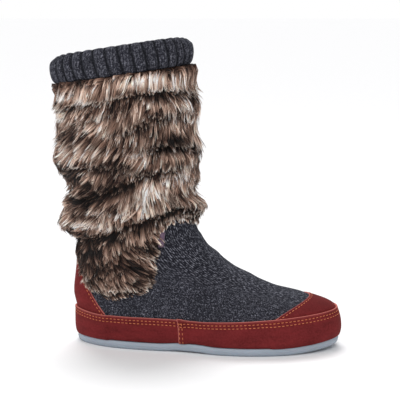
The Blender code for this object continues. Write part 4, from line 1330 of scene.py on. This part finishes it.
class Leg:
    """The upper's surface as a table by angle and row, quick to read at many places."""

    def __init__(self):
        self.angles = np.linspace(0, 2 * math.pi, 241)
        self.rows = np.linspace(RAND_ROW, TOP_ROW, (TOP_ROW - RAND_ROW) * 12 + 1)
        frames = [upper_frame(row, self.angles) for row in self.rows]
        self.point = np.array([f[0] for f in frames])
        self.normal = np.array([f[1] for f in frames])
        self.around = np.linalg.norm(np.gradient(self.point, self.angles, axis=1), axis=2)
        self.up = np.linalg.norm(np.gradient(self.point, self.rows, axis=0), axis=2)
        self.hem_row = row_at_height(self.angles, hem_height(self.angles))
        self.top_row = row_at_height(self.angles, cuff_foot(self.angles) - SOFT_GAP)

    def read(self, table, angle, row):
        """The table's value at each place, between its four nearest ones."""
        a = np.mod(angle, 2 * math.pi) / (2 * math.pi) * (len(self.angles) - 1)
        r = np.clip((row - self.rows[0]) / (self.rows[1] - self.rows[0]), 0, len(self.rows) - 1.001)
        i, j = a.astype(int) % (len(self.angles) - 1), r.astype(int)
        s, t = a - np.floor(a), r - j
        if table.ndim == 3:
            s, t = s[:, None], t[:, None]
        return ((table[j, i] * (1 - s) + table[j, i + 1] * s) * (1 - t)
                + (table[j + 1, i] * (1 - s) + table[j + 1, i + 1] * s) * t)

    def row_between(self, angle, share):
        """The row at a share of the way from the hem to the cuff."""
        angle = np.mod(angle, 2 * math.pi)
        low = np.interp(angle, self.angles, self.hem_row)
        return low + (np.interp(angle, self.angles, self.top_row) - low) * share


def scatter(leg, count, seed):
    """Places spread evenly over the sleeve, as angle and share of the way from hem to cuff."""
    start = np.random.default_rng(seed).random(2)
    n = np.arange(int(count * 4))
    golden = 1.32471795724474602596
    angle = np.mod(start[0] + n / golden, 1) * 2 * math.pi
    share = np.mod(start[1] + n / golden ** 2, 1)
    row = leg.row_between(angle, share)
    span = leg.row_between(angle, np.ones_like(share)) - leg.row_between(angle, np.zeros_like(share))
    area = leg.read(leg.around, angle, row) * leg.read(leg.up, angle, row) * span
    keep = np.random.default_rng(seed + 1).random(len(n)) < area / area.max()
    return angle[keep][:count], share[keep][:count]


def around_table(table, angle, column):
    """A column of a parting read round the leg, joined from the last place to the first."""
    degrees = np.degrees(np.mod(angle, 2 * math.pi))
    places = [p[0] for p in table] + [360 + table[0][0]]
    values = [p[column] for p in table] + [table[0][column]]
    return np.interp(degrees, places, values)


def stand_off(angle, height):
    """How much further off the leg the pile stands, in metres."""
    off = np.zeros_like(height)
    x = np.degrees(angle)
    for degrees, middle, half_width, half_height, extra in STANDS:
        away = np.mod(x - degrees + 180, 360) - 180
        off += extra / 1000 * np.exp(-(away / half_width) ** 2
                                     - ((height * 1000 - middle) / half_height) ** 2)
    return off


def ankle_share(height):
    """1 on the lobes over the ankle, where the pile is short and swirls, and 0 on the leg."""
    return 1 - eased(height, *ANKLE_BAND)


def combing(angle, height):
    """How far the pile turns from straight down towards larger angles, in radians."""
    angle = np.mod(angle, 2 * math.pi)
    folded = np.degrees(np.minimum(angle, 2 * math.pi - angle))
    leg, ankle = (smooth_through(*np.array(table, float).T, folded) for table in (COMBING, ANKLE_COMBING))
    low = ankle_share(height)
    back = np.radians(leg + (ankle - leg) * low) * np.where(angle <= math.pi, -1, 1)
    swirl = np.sin(3 * angle + 45 * height) * np.sin(70 * height + 2 * angle) * 0.16
    whorl = np.sin(7 * angle + 160 * height) * np.sin(210 * height - 5 * angle) * 0.75
    return back + swirl + whorl * low


def tone_and_painted_light_at(angle, height):
    """Light and dark places of the pile, from about -1 to 1: its own tone and painted light and shade."""
    tone = np.zeros_like(angle)
    x = np.degrees(np.mod(angle, 2 * math.pi))
    z = height * 1000
    around = math.radians(1) * 1000 * (SHAFT_DEPTH + SHAFT_WIDTH) / 4
    for degrees, middle, half_width, half_height, value in PATCHES:
        away = (np.mod(x - degrees + 180, 360) - 180) * around
        tone += value * np.exp(-((away / half_width) ** 2 + ((z - middle) / half_height) ** 2))
    return tone


class Pile:
    """Strands of the pile: where each is rooted and how it grows."""

    def __init__(self, leg, count, seed):
        self.angle, self.share = scatter(leg, count, seed)
        self.count = len(self.angle)
        self.row = leg.row_between(self.angle, self.share)
        self.root = leg.read(leg.point, self.angle, self.row)
        self.rng = np.random.default_rng(seed + 2)

    def nearest(self, other):
        """For each strand here, the number of the nearest strand of the other pile."""
        tree = KDTree(other.count)
        for i, place in enumerate(other.root):
            tree.insert(place, i)
        tree.balance()
        return np.array([tree.find(place)[1] for place in self.root])

    def settle(self, length, turn, flick, layer, tone):
        """Length, turn from the combing, lift of the tip, depth in the pile, and tone of each strand."""
        self.length, self.turn, self.flick, self.layer, self.tone = length, turn, flick, layer, tone


def grow(leg, pile, steps):
    """The strands' centre lines, with the share of its own length that each point lies at."""
    angle, row = pile.angle.copy(), pile.row.copy()
    height = pile.root[:, 2]
    length = pile.length * (1 - ANKLE_SHORTENING * ankle_share(height))
    direction = combing(angle, height) + pile.turn
    fall = np.cos(direction)
    # A parting cuts short the strands that would cross it, and their ends stand out over it
    ends_free = np.zeros(pile.count)
    for parting in PARTINGS:
        line = around_table(parting, angle, 1) / 1000
        strength = around_table(parting, angle, 2)
        to_line = (height - line) / np.maximum(fall, 0.3)
        cuts = (to_line > 0) & (to_line < length) & (pile.rng.random(pile.count) < strength)
        shorter = np.maximum(to_line + pile.rng.uniform(0, 0.004, pile.count), SHORTEST_STRAND)
        length = np.where(cuts, np.minimum(length, shorter), length)
        ends_free = np.where(cuts, strength, ends_free)
    # The same at the hem, where the ends lie close
    hem = hem_height(angle)
    over_hem = 0.0003 + HEM_FRINGE * pile.layer * pile.rng.uniform(0.3, 1.0, pile.count)
    to_hem = (height - hem) / np.maximum(fall, 0.3) + over_hem
    at_hem = to_hem < length
    length = np.where(at_hem, np.maximum(to_hem, SHORTEST_STRAND), length)
    brim = eased(pile.share, 0.90, 1.0)
    points = []
    for k in range(steps + 1):
        t = k / steps
        base = leg.read(leg.point, angle, row)
        normal = leg.read(leg.normal, angle, row)
        normal /= np.linalg.norm(normal, axis=1)[:, None]
        z = base[:, 2]
        depth = fur_depth(np.mod(angle, 2 * math.pi), z)
        depth = np.maximum(depth, LEAST_PILE_DEPTH * (1 - np.where(at_hem, t, 0)))
        settling = 1 - float(eased(t, 0.2, 0.8))
        depth = np.maximum(depth, BRIM_PILE_DEPTH * brim * settling)
        seat = fur_seat(base)
        root = seat + 0.25 * depth
        crest = seat + depth * (0.45 + 0.50 * pile.layer)
        rise = math.sin(math.pi / 2 * min(1.0, t / 0.42))
        stand = (pile.flick + PARTING_LIFT * ends_free) * t ** 2.2
        stand = np.where(at_hem, 0.25 * stand - 0.0008 * t ** 2, stand)
        off = root + (crest - root) * rise + stand + stand_off(angle, z) * rise
        off = np.maximum(off, seat + 0.001)
        place = base + normal * off[:, None]
        lift = BRIM_RISE[0] + BRIM_RISE[1] * pile.layer
        place[:, 2] += brim * lift * math.sin(math.pi * min(1.0, 1.4 * t))
        points.append(place)
        if k < steps:
            run = length / steps
            angle = angle + run * np.sin(direction) / np.maximum(leg.read(leg.around, angle, row), 0.01)
            row = row - run * fall / np.maximum(leg.read(leg.up, angle, row), 0.002)
            row = np.maximum(row, RAND_ROW)
            direction = direction * (1 - 0.10 / steps)
    return np.stack(points, 1), length


def dye_and_painted_light(pile, points, length, steps):
    """Colours down each strand, root to tip, with painted light and shade."""
    stops = [stop for stop, _ in PILE_DYES]
    dyes = np.array([linear(code) for _, code in PILE_DYES])
    t = np.linspace(0, 1, steps + 1)[None, :]
    z = points[:, :, 2]
    angle = pile.angle[:, None] + np.zeros_like(z)
    # The pile's own tone and painted light and shade, patch by patch
    tone = tone_and_painted_light_at(angle.ravel(), z.ravel()).reshape(z.shape)
    shadow = np.zeros_like(z)
    for parting in PARTINGS:
        line = around_table(parting, angle.ravel(), 1).reshape(z.shape) / 1000
        strength = around_table(parting, angle.ravel(), 2).reshape(z.shape)
        below = line - z
        shadow += strength * np.exp(-((below - 0.0025) / 0.0055) ** 2) * (1 - t) ** 0.7
    along = t * (0.80 + 0.20 * np.clip(length / 0.026, 0, 1))[:, None]
    low = ankle_share(z)
    over = z - hem_height(angle.ravel()).reshape(z.shape)
    rim = np.exp(-(over / 0.0045) ** 2) * t ** 2
    along = along + 0.15 * pile.tone[:, None] + 0.30 * tone - 0.8 * shadow - 0.28 * low + 0.50 * rim
    along = np.clip(along, 0, 1)
    colour = np.stack([np.interp(along, stops, dyes[:, k]) for k in range(3)], -1)
    light = 1.12 + 0.26 * pile.tone[:, None] + 0.42 * tone - 0.55 * shadow - 0.32 * low + 0.15 * rim
    light = np.clip(light, 0.2, 1.9)
    colour = np.clip(colour * light[:, :, None], 0, 0.92)
    return np.concatenate([colour, np.ones_like(colour[:, :, :1])], -1)


def comb_pile(leg, settings):
    """Locks, the tufts in them and the strands in those. Each leans towards the one it belongs to."""
    steps = 4
    locks = Pile(leg, LOCK_COUNT, 11)
    rng = locks.rng
    locks.settle(settings.pile_length * rng.uniform(0.72, 1.12, locks.count),
                 rng.normal(0, 0.17, locks.count), rng.uniform(-0.0015, 0.002, locks.count),
                 rng.uniform(0.35, 1.0, locks.count), rng.normal(0, 0.55, locks.count))
    tufts = Pile(leg, TUFT_COUNT, 23)
    rng = tufts.rng
    lock = tufts.nearest(locks)
    tufts.settle(locks.length[lock] * rng.uniform(0.8, 1.1, tufts.count),
                 locks.turn[lock] + rng.normal(0, 0.16, tufts.count),
                 locks.flick[lock] + rng.uniform(-0.001, 0.001, tufts.count)
                 + 0.005 * (rng.random(tufts.count) < 0.13),
                 np.clip(locks.layer[lock] + rng.normal(0, 0.22, tufts.count), 0.05, 1.2),
                 0.6 * locks.tone[lock] + rng.normal(0, 0.85, tufts.count))
    strands = Pile(leg, settings.strand_count, 37)
    rng = strands.rng
    tuft = strands.nearest(tufts)
    strands.settle(tufts.length[tuft] * rng.uniform(0.85, 1.08, strands.count),
                   tufts.turn[tuft] + rng.normal(0, 0.09, strands.count),
                   tufts.flick[tuft] + rng.uniform(-0.0008, 0.0010, strands.count),
                   np.clip(tufts.layer[tuft] + rng.normal(0, 0.15, strands.count), 0.0, 1.2),
                   tufts.tone[tuft] + np.where(rng.random(strands.count) < 0.15, -1.5, 0.25)
                   + rng.normal(0, 0.3, strands.count))
    lock_lines, _ = grow(leg, locks, steps)
    tuft_lines, _ = grow(leg, tufts, steps)
    t = np.linspace(0, 1, steps + 1)[None, :, None]
    gather = LOCK_GATHER * t ** 1.4
    tuft_lines = tuft_lines * (1 - gather) + lock_lines[lock] * gather
    lines, length = grow(leg, strands, steps)
    own_tip = lines[:, -1] - lines[:, 0]
    tuft_tip = tuft_lines[tuft][:, -1] - tuft_lines[tuft][:, 0]
    same = np.exp(-(np.linalg.norm(own_tip - tuft_tip, axis=1) / TUFT_REACH) ** 2)[:, None, None]
    gather = TUFT_GATHER * t ** 0.9 * same
    lines = lines * (1 - gather) + tuft_lines[tuft] * gather
    return strands, lines, dye_and_painted_light(strands, lines, length, steps)


def make_strands(name, lines, colours, widths, roll, middle):
    """Tapered strands as one mesh, each a strip turned a little about its own run."""
    count, places = lines.shape[:2]
    run = np.gradient(lines, axis=1)
    run /= np.maximum(np.linalg.norm(run, axis=2), 1e-9)[:, :, None]
    out = lines[:, :1] - middle[:, None]
    out[:, :, 2] = 0
    out = out / np.linalg.norm(out, axis=2)[:, :, None]
    side = np.cross(run, out)
    side /= np.maximum(np.linalg.norm(side, axis=2), 1e-9)[:, :, None]
    over = np.cross(run, side)
    side = side * np.cos(roll)[:, None, None] + over * np.sin(roll)[:, None, None]
    taper = np.array((0.75, 1.0, 0.9, 0.6))[None, :, None]
    half = side[:, :-1] * (widths[:, None, None] / 2 * taper)
    left, right, tip = lines[:, :-1] - half, lines[:, :-1] + half, lines[:, -1:]
    points = np.concatenate([left, right, tip], 1)
    shades = np.concatenate([colours[:, :-1], colours[:, :-1], colours[:, -1:]], 1)
    per = 2 * places - 1
    base = np.arange(count)[:, None] * per
    quads = [np.stack([base[:, 0] + k, base[:, 0] + places - 1 + k, base[:, 0] + places + k,
                       base[:, 0] + k + 1], -1) for k in range(places - 2)]
    ends = np.stack([base[:, 0] + places - 2, base[:, 0] + 2 * places - 3, base[:, 0] + 2 * places - 2], -1)
    faces = np.concatenate(quads).tolist() + ends.tolist()
    made = add_mesh(name, points.reshape(-1, 3), faces, finish(long_pile), colours=shades.reshape(-1, 4))
    return belongs(made, "faux_fur")


def make_pelt(leg):
    """The fur's fabric ground with its underfur: a closed sleeve with soft rolls."""
    columns = 220
    angles = np.arange(columns) * 2 * math.pi / columns
    low, high = leg.row_between(angles, 0.0), leg.row_between(angles, 1.0)
    loops = []
    shares = np.concatenate([[0.0, 0.006, 0.015], np.linspace(0.03, 0.97, 96), [0.985, 1.0]])
    for s in shares:
        row = low + (high - low) * s
        point = leg.read(leg.point, angles, row)
        normal = leg.read(leg.normal, angles, row)
        rounded = math.sin(math.pi / 2 * min(1.0, s / 0.02, (1 - s) / 0.02))
        depth = fur_depth(angles, point[:, 2]) + 1.5 * np.minimum(0, stand_off(angles, point[:, 2]))
        depth = np.maximum(depth, 0.002) * GROUND_SHARE * rounded
        loops.append(point + normal * (fur_seat(point) + 0.0004 + depth)[:, None])
    for s in shares[::-4]:
        row = low + (high - low) * s
        point = leg.read(leg.point, angles, row)
        loops.append(point + leg.read(leg.normal, angles, row) * fur_seat(point)[:, None])
    faces = grid_faces(len(loops), columns, True, True)
    made = add_mesh("pile_ground", np.concatenate(loops), faces, finish(pile_backing))
    return belongs(made, "faux_fur", "fur_sleeve")


def make_fur(settings):
    """The ground and three meshes of strands: over the ankle, in the middle and under the cuff."""
    leg = Leg()
    make_pelt(leg)
    strands, lines, colours = comb_pile(leg, settings)
    rng = np.random.default_rng(41)
    widths = settings.strand_width * rng.uniform(0.55, 1.35, strands.count)
    roll = rng.normal(0, 0.55, strands.count)
    middle = np.zeros((strands.count, 3))
    middle[:, 0] = (station(FOOT_ROWS[-1][0]) + station(FOOT_ROWS[-1][1])) / 2 - SHAFT_LEAN / 2
    order = np.argsort(strands.share, kind="stable")
    for name, part in zip(("pile_ankle", "pile_middle", "pile_top"), np.array_split(order, 3)):
        make_strands(name, lines[part], colours[part], widths[part], roll[part], middle[part])


# Stage


def place_and_aim(name, data, place):
    """A lamp or camera at its place, turned to the boot."""
    made = bpy.data.objects.new(name, data)
    made.location = place
    made.rotation_euler = (Vector(VIEW_TARGET) - made.location).to_track_quat("-Z", "Y").to_euler()
    bpy.context.scene.collection.objects.link(made)
    return made


def make_stage(settings):
    """White paper floor, soft lamps all round and the camera."""
    rings, sides = 26, 64
    spread = FLOOR_RADIUS * (np.arange(rings + 1) / rings) ** 3
    turn = np.arange(sides) * 2 * math.pi / sides
    points = [(r * math.cos(a), r * math.sin(a), 0.0) for r in spread[1:] for a in turn]
    faces = grid_faces(rings, sides, close_columns=True)
    faces = faces[:, ::-1].tolist() + [list(range(sides))]
    floor = add_mesh("paper_floor", points, faces, finish(seamless_paper))
    world = bpy.context.scene.world or bpy.data.worlds.new("studio")
    bpy.context.scene.world = world
    world.use_nodes = True
    sky = world.node_tree.nodes["Background"]
    sky.inputs["Color"].default_value = (1.0, 1.0, 1.0, 1.0)
    sky.inputs["Strength"].default_value = settings.ambient
    # The wall behind the boot is as white as the paper
    seen = add_node(world.node_tree, "ShaderNodeLightPath").outputs["Is Camera Ray"]
    bright = add_node(world.node_tree, "ShaderNodeMath", {"operation": "MAXIMUM"},
                      {0: seen, 1: settings.ambient})
    world.node_tree.links.new(bright.outputs[0], sky.inputs["Strength"])
    sun = bpy.data.lights.new("ceiling_diffuser", "SUN")
    sun.energy = settings.ceiling_power
    sun.angle = math.radians(35)
    place_and_aim("ceiling_diffuser", sun, CEILING_PLACE)
    for name, place, size, share in SOFTBOXES:
        softbox = bpy.data.lights.new(name, "AREA")
        softbox.shape = "DISK"
        softbox.size = size
        softbox.energy = settings.key_power * share
        place_and_aim(name, softbox, place)
    lens = bpy.data.cameras.new("front_side_camera")
    lens.sensor_width = SENSOR_WIDTH
    lens.lens = SENSOR_WIDTH * VIEW_DISTANCE / VIEW_WIDTH
    lens.clip_start = 0.05
    lens.clip_end = 50.0
    away = (math.sin(VIEW_AZIMUTH) * math.cos(VIEW_ELEVATION),
            -math.cos(VIEW_AZIMUTH) * math.cos(VIEW_ELEVATION), math.sin(VIEW_ELEVATION))
    place = [t + VIEW_DISTANCE * a for t, a in zip(VIEW_TARGET, away)]
    bpy.context.scene.camera = place_and_aim("front_side_camera", lens, place)
    bpy.context.scene.view_settings.view_transform = "Standard"


# The add-on


class KnitSettings(bpy.types.PropertyGroup):
    wale_count: bpy.props.IntProperty(
        name="Wales", description="Lines of loops round the leg", default=150, min=20)
    course_pitch: bpy.props.FloatProperty(
        name="Course pitch", description="Height of one loop", default=0.0017, unit="LENGTH")
    fleck_size: bpy.props.FloatProperty(
        name="Fleck size", description="Size of the pale flecks in the yarn", default=0.0011, unit="LENGTH")


class SuedeSettings(bpy.types.PropertyGroup):
    suede_colour: bpy.props.FloatVectorProperty(
        name="Suede", description="Colour of the suede", subtype="COLOR", default=linear("#671f21"))
    thread_colour: bpy.props.FloatVectorProperty(
        name="Thread", description="Colour of the stitching", subtype="COLOR", default=linear("#c97446"))
    stitch_pitch: bpy.props.FloatProperty(
        name="Stitch pitch", description="From one stitch to the next", default=STITCH_PITCH, unit="LENGTH")
    stitch_length: bpy.props.FloatProperty(
        name="Stitch length", description="Length that shows of a stitch", default=0.0026, unit="LENGTH")
    thread_thickness: bpy.props.FloatProperty(
        name="Thread thickness", description="Across the thread", default=0.00072, unit="LENGTH")


class SoleSettings(bpy.types.PropertyGroup):
    rubber_colour: bpy.props.FloatVectorProperty(
        name="Rubber", description="Colour of the outsole", subtype="COLOR", default=linear("#98a2ae"))
    felt_colour: bpy.props.FloatVectorProperty(
        name="Felt", description="Colour of the insole", subtype="COLOR", default=linear("#6b6c70"))


class FurSettings(bpy.types.PropertyGroup):
    pile_length: bpy.props.FloatProperty(
        name="Pile length", description="Length of the longest strands", default=0.026, unit="LENGTH")
    strand_width: bpy.props.FloatProperty(
        name="Strand width", description="Width of a strand at its widest", default=0.00056, unit="LENGTH")
    strand_count: bpy.props.IntProperty(
        name="Strands", description="Number of strands in the whole sleeve", default=81000, min=1000)


class StageSettings(bpy.types.PropertyGroup):
    ambient: bpy.props.FloatProperty(
        name="Ambient light", description="Strength of the white room", default=0.45, min=0.0)
    ceiling_power: bpy.props.FloatProperty(
        name="Ceiling power", description="Light through the ceiling diffuser", default=2.0, min=0.0)
    key_power: bpy.props.FloatProperty(
        name="Key power", description="Power of the main softbox in watts", default=10.0, min=0.0)


class BootSettings(bpy.types.PropertyGroup):
    knit: bpy.props.PointerProperty(type=KnitSettings)
    suede: bpy.props.PointerProperty(type=SuedeSettings)
    sole: bpy.props.PointerProperty(type=SoleSettings)
    fur: bpy.props.PointerProperty(type=FurSettings)
    stage: bpy.props.PointerProperty(type=StageSettings)


class BOOT_OT_sole(bpy.types.Operator):
    """Make the rubber outsole and the felt insole"""
    bl_idname = "boot.sole"
    bl_label = "Outsole and insole"

    def execute(self, context):
        settings = context.scene.slipper_boot.sole
        make_outsole(settings)
        make_insole(settings)
        return {"FINISHED"}


class BOOT_OT_knit_upper(bpy.types.Operator):
    """Knit the foot and the shaft in one"""
    bl_idname = "boot.knit_upper"
    bl_label = "Knitted upper"

    def execute(self, context):
        make_knit_upper(context.scene.slipper_boot.knit)
        return {"FINISHED"}


class BOOT_OT_ribbon(bpy.types.Operator):
    """Tuck the fold of ribbon in under the sleeve's edge"""
    bl_idname = "boot.ribbon"
    bl_label = "Ribbon"

    def execute(self, context):
        make_tag()
        return {"FINISHED"}


class BOOT_OT_overlays(bpy.types.Operator):
    """Make the suede toe cap and heel counter"""
    bl_idname = "boot.overlays"
    bl_label = "Toe cap and heel counter"

    def execute(self, context):
        settings = context.scene.slipper_boot.suede
        make_overlay("suede_toe_cap", cap_inside, settings, "toe_cap")
        make_overlay("suede_heel_counter", counter_inside, settings, "heel_counter")
        return {"FINISHED"}


class BOOT_OT_rands(bpy.types.Operator):
    """Make the two lengths of suede rand"""
    bl_idname = "boot.rands"
    bl_label = "Suede rand"

    def execute(self, context):
        make_rands(context.scene.slipper_boot.suede)
        return {"FINISHED"}


class BOOT_OT_stitching(bpy.types.Operator):
    """Sew the rows of stitches"""
    bl_idname = "boot.stitching"
    bl_label = "Stitching"

    def execute(self, context):
        make_stitching(context.scene.slipper_boot.suede)
        return {"FINISHED"}


class BOOT_OT_cuff(bpy.types.Operator):
    """Make the ribbed cuff"""
    bl_idname = "boot.cuff"
    bl_label = "Ribbed cuff"

    def execute(self, context):
        make_cuff(context.scene.slipper_boot.knit)
        return {"FINISHED"}


class BOOT_OT_fur(bpy.types.Operator):
    """Grow the fur sleeve"""
    bl_idname = "boot.fur"
    bl_label = "Fur sleeve"

    def execute(self, context):
        make_fur(context.scene.slipper_boot.fur)
        return {"FINISHED"}


class BOOT_OT_stage(bpy.types.Operator):
    """Lay the floor and set the lamps and the camera"""
    bl_idname = "boot.stage"
    bl_label = "Stage"

    def execute(self, context):
        make_stage(context.scene.slipper_boot.stage)
        return {"FINISHED"}


class BOOT_PT_panel(bpy.types.Panel):
    """The boot's pieces and their settings"""
    bl_label = "Slipper Boot"
    bl_idname = "BOOT_PT_panel"
    bl_space_type = "VIEW_3D"
    bl_region_type = "UI"
    bl_category = "Slipper Boot"

    def draw(self, context):
        settings = context.scene.slipper_boot
        for label, group, operators in PANEL_ROWS:
            box = self.layout.box()
            box.label(text=label)
            values = getattr(settings, group)
            for name in values.bl_rna.properties.keys():
                if name not in ("rna_type", "name"):
                    box.prop(values, name)
            for operator in operators:
                box.operator(operator.bl_idname)


PANEL_ROWS = (("Sole", "sole", (BOOT_OT_sole,)),
              ("Knit", "knit", (BOOT_OT_knit_upper, BOOT_OT_ribbon, BOOT_OT_cuff)),
              ("Suede", "suede", (BOOT_OT_overlays, BOOT_OT_rands, BOOT_OT_stitching)),
              ("Fur", "fur", (BOOT_OT_fur,)),
              ("Stage", "stage", (BOOT_OT_stage,)))

CLASSES = (KnitSettings, SuedeSettings, SoleSettings, FurSettings, StageSettings, BootSettings, BOOT_OT_sole,
           BOOT_OT_knit_upper, BOOT_OT_ribbon, BOOT_OT_overlays, BOOT_OT_rands, BOOT_OT_stitching,
           BOOT_OT_cuff, BOOT_OT_fur, BOOT_OT_stage, BOOT_PT_panel)


def register():
    for kind in CLASSES:
        bpy.utils.register_class(kind)
    bpy.types.Scene.slipper_boot = bpy.props.PointerProperty(type=BootSettings)


def unregister():
    del bpy.types.Scene.slipper_boot
    for kind in reversed(CLASSES):
        bpy.utils.unregister_class(kind)


def main():
    """Dresses the boot piece by piece."""
    register()
    bpy.ops.boot.sole()
    bpy.ops.boot.knit_upper()
    bpy.ops.boot.ribbon()
    bpy.ops.boot.overlays()
    bpy.ops.boot.rands()
    bpy.ops.boot.stitching()
    bpy.ops.boot.cuff()
    bpy.ops.boot.fur()
    bpy.ops.boot.stage()


if __name__ == "__main__":
    main()
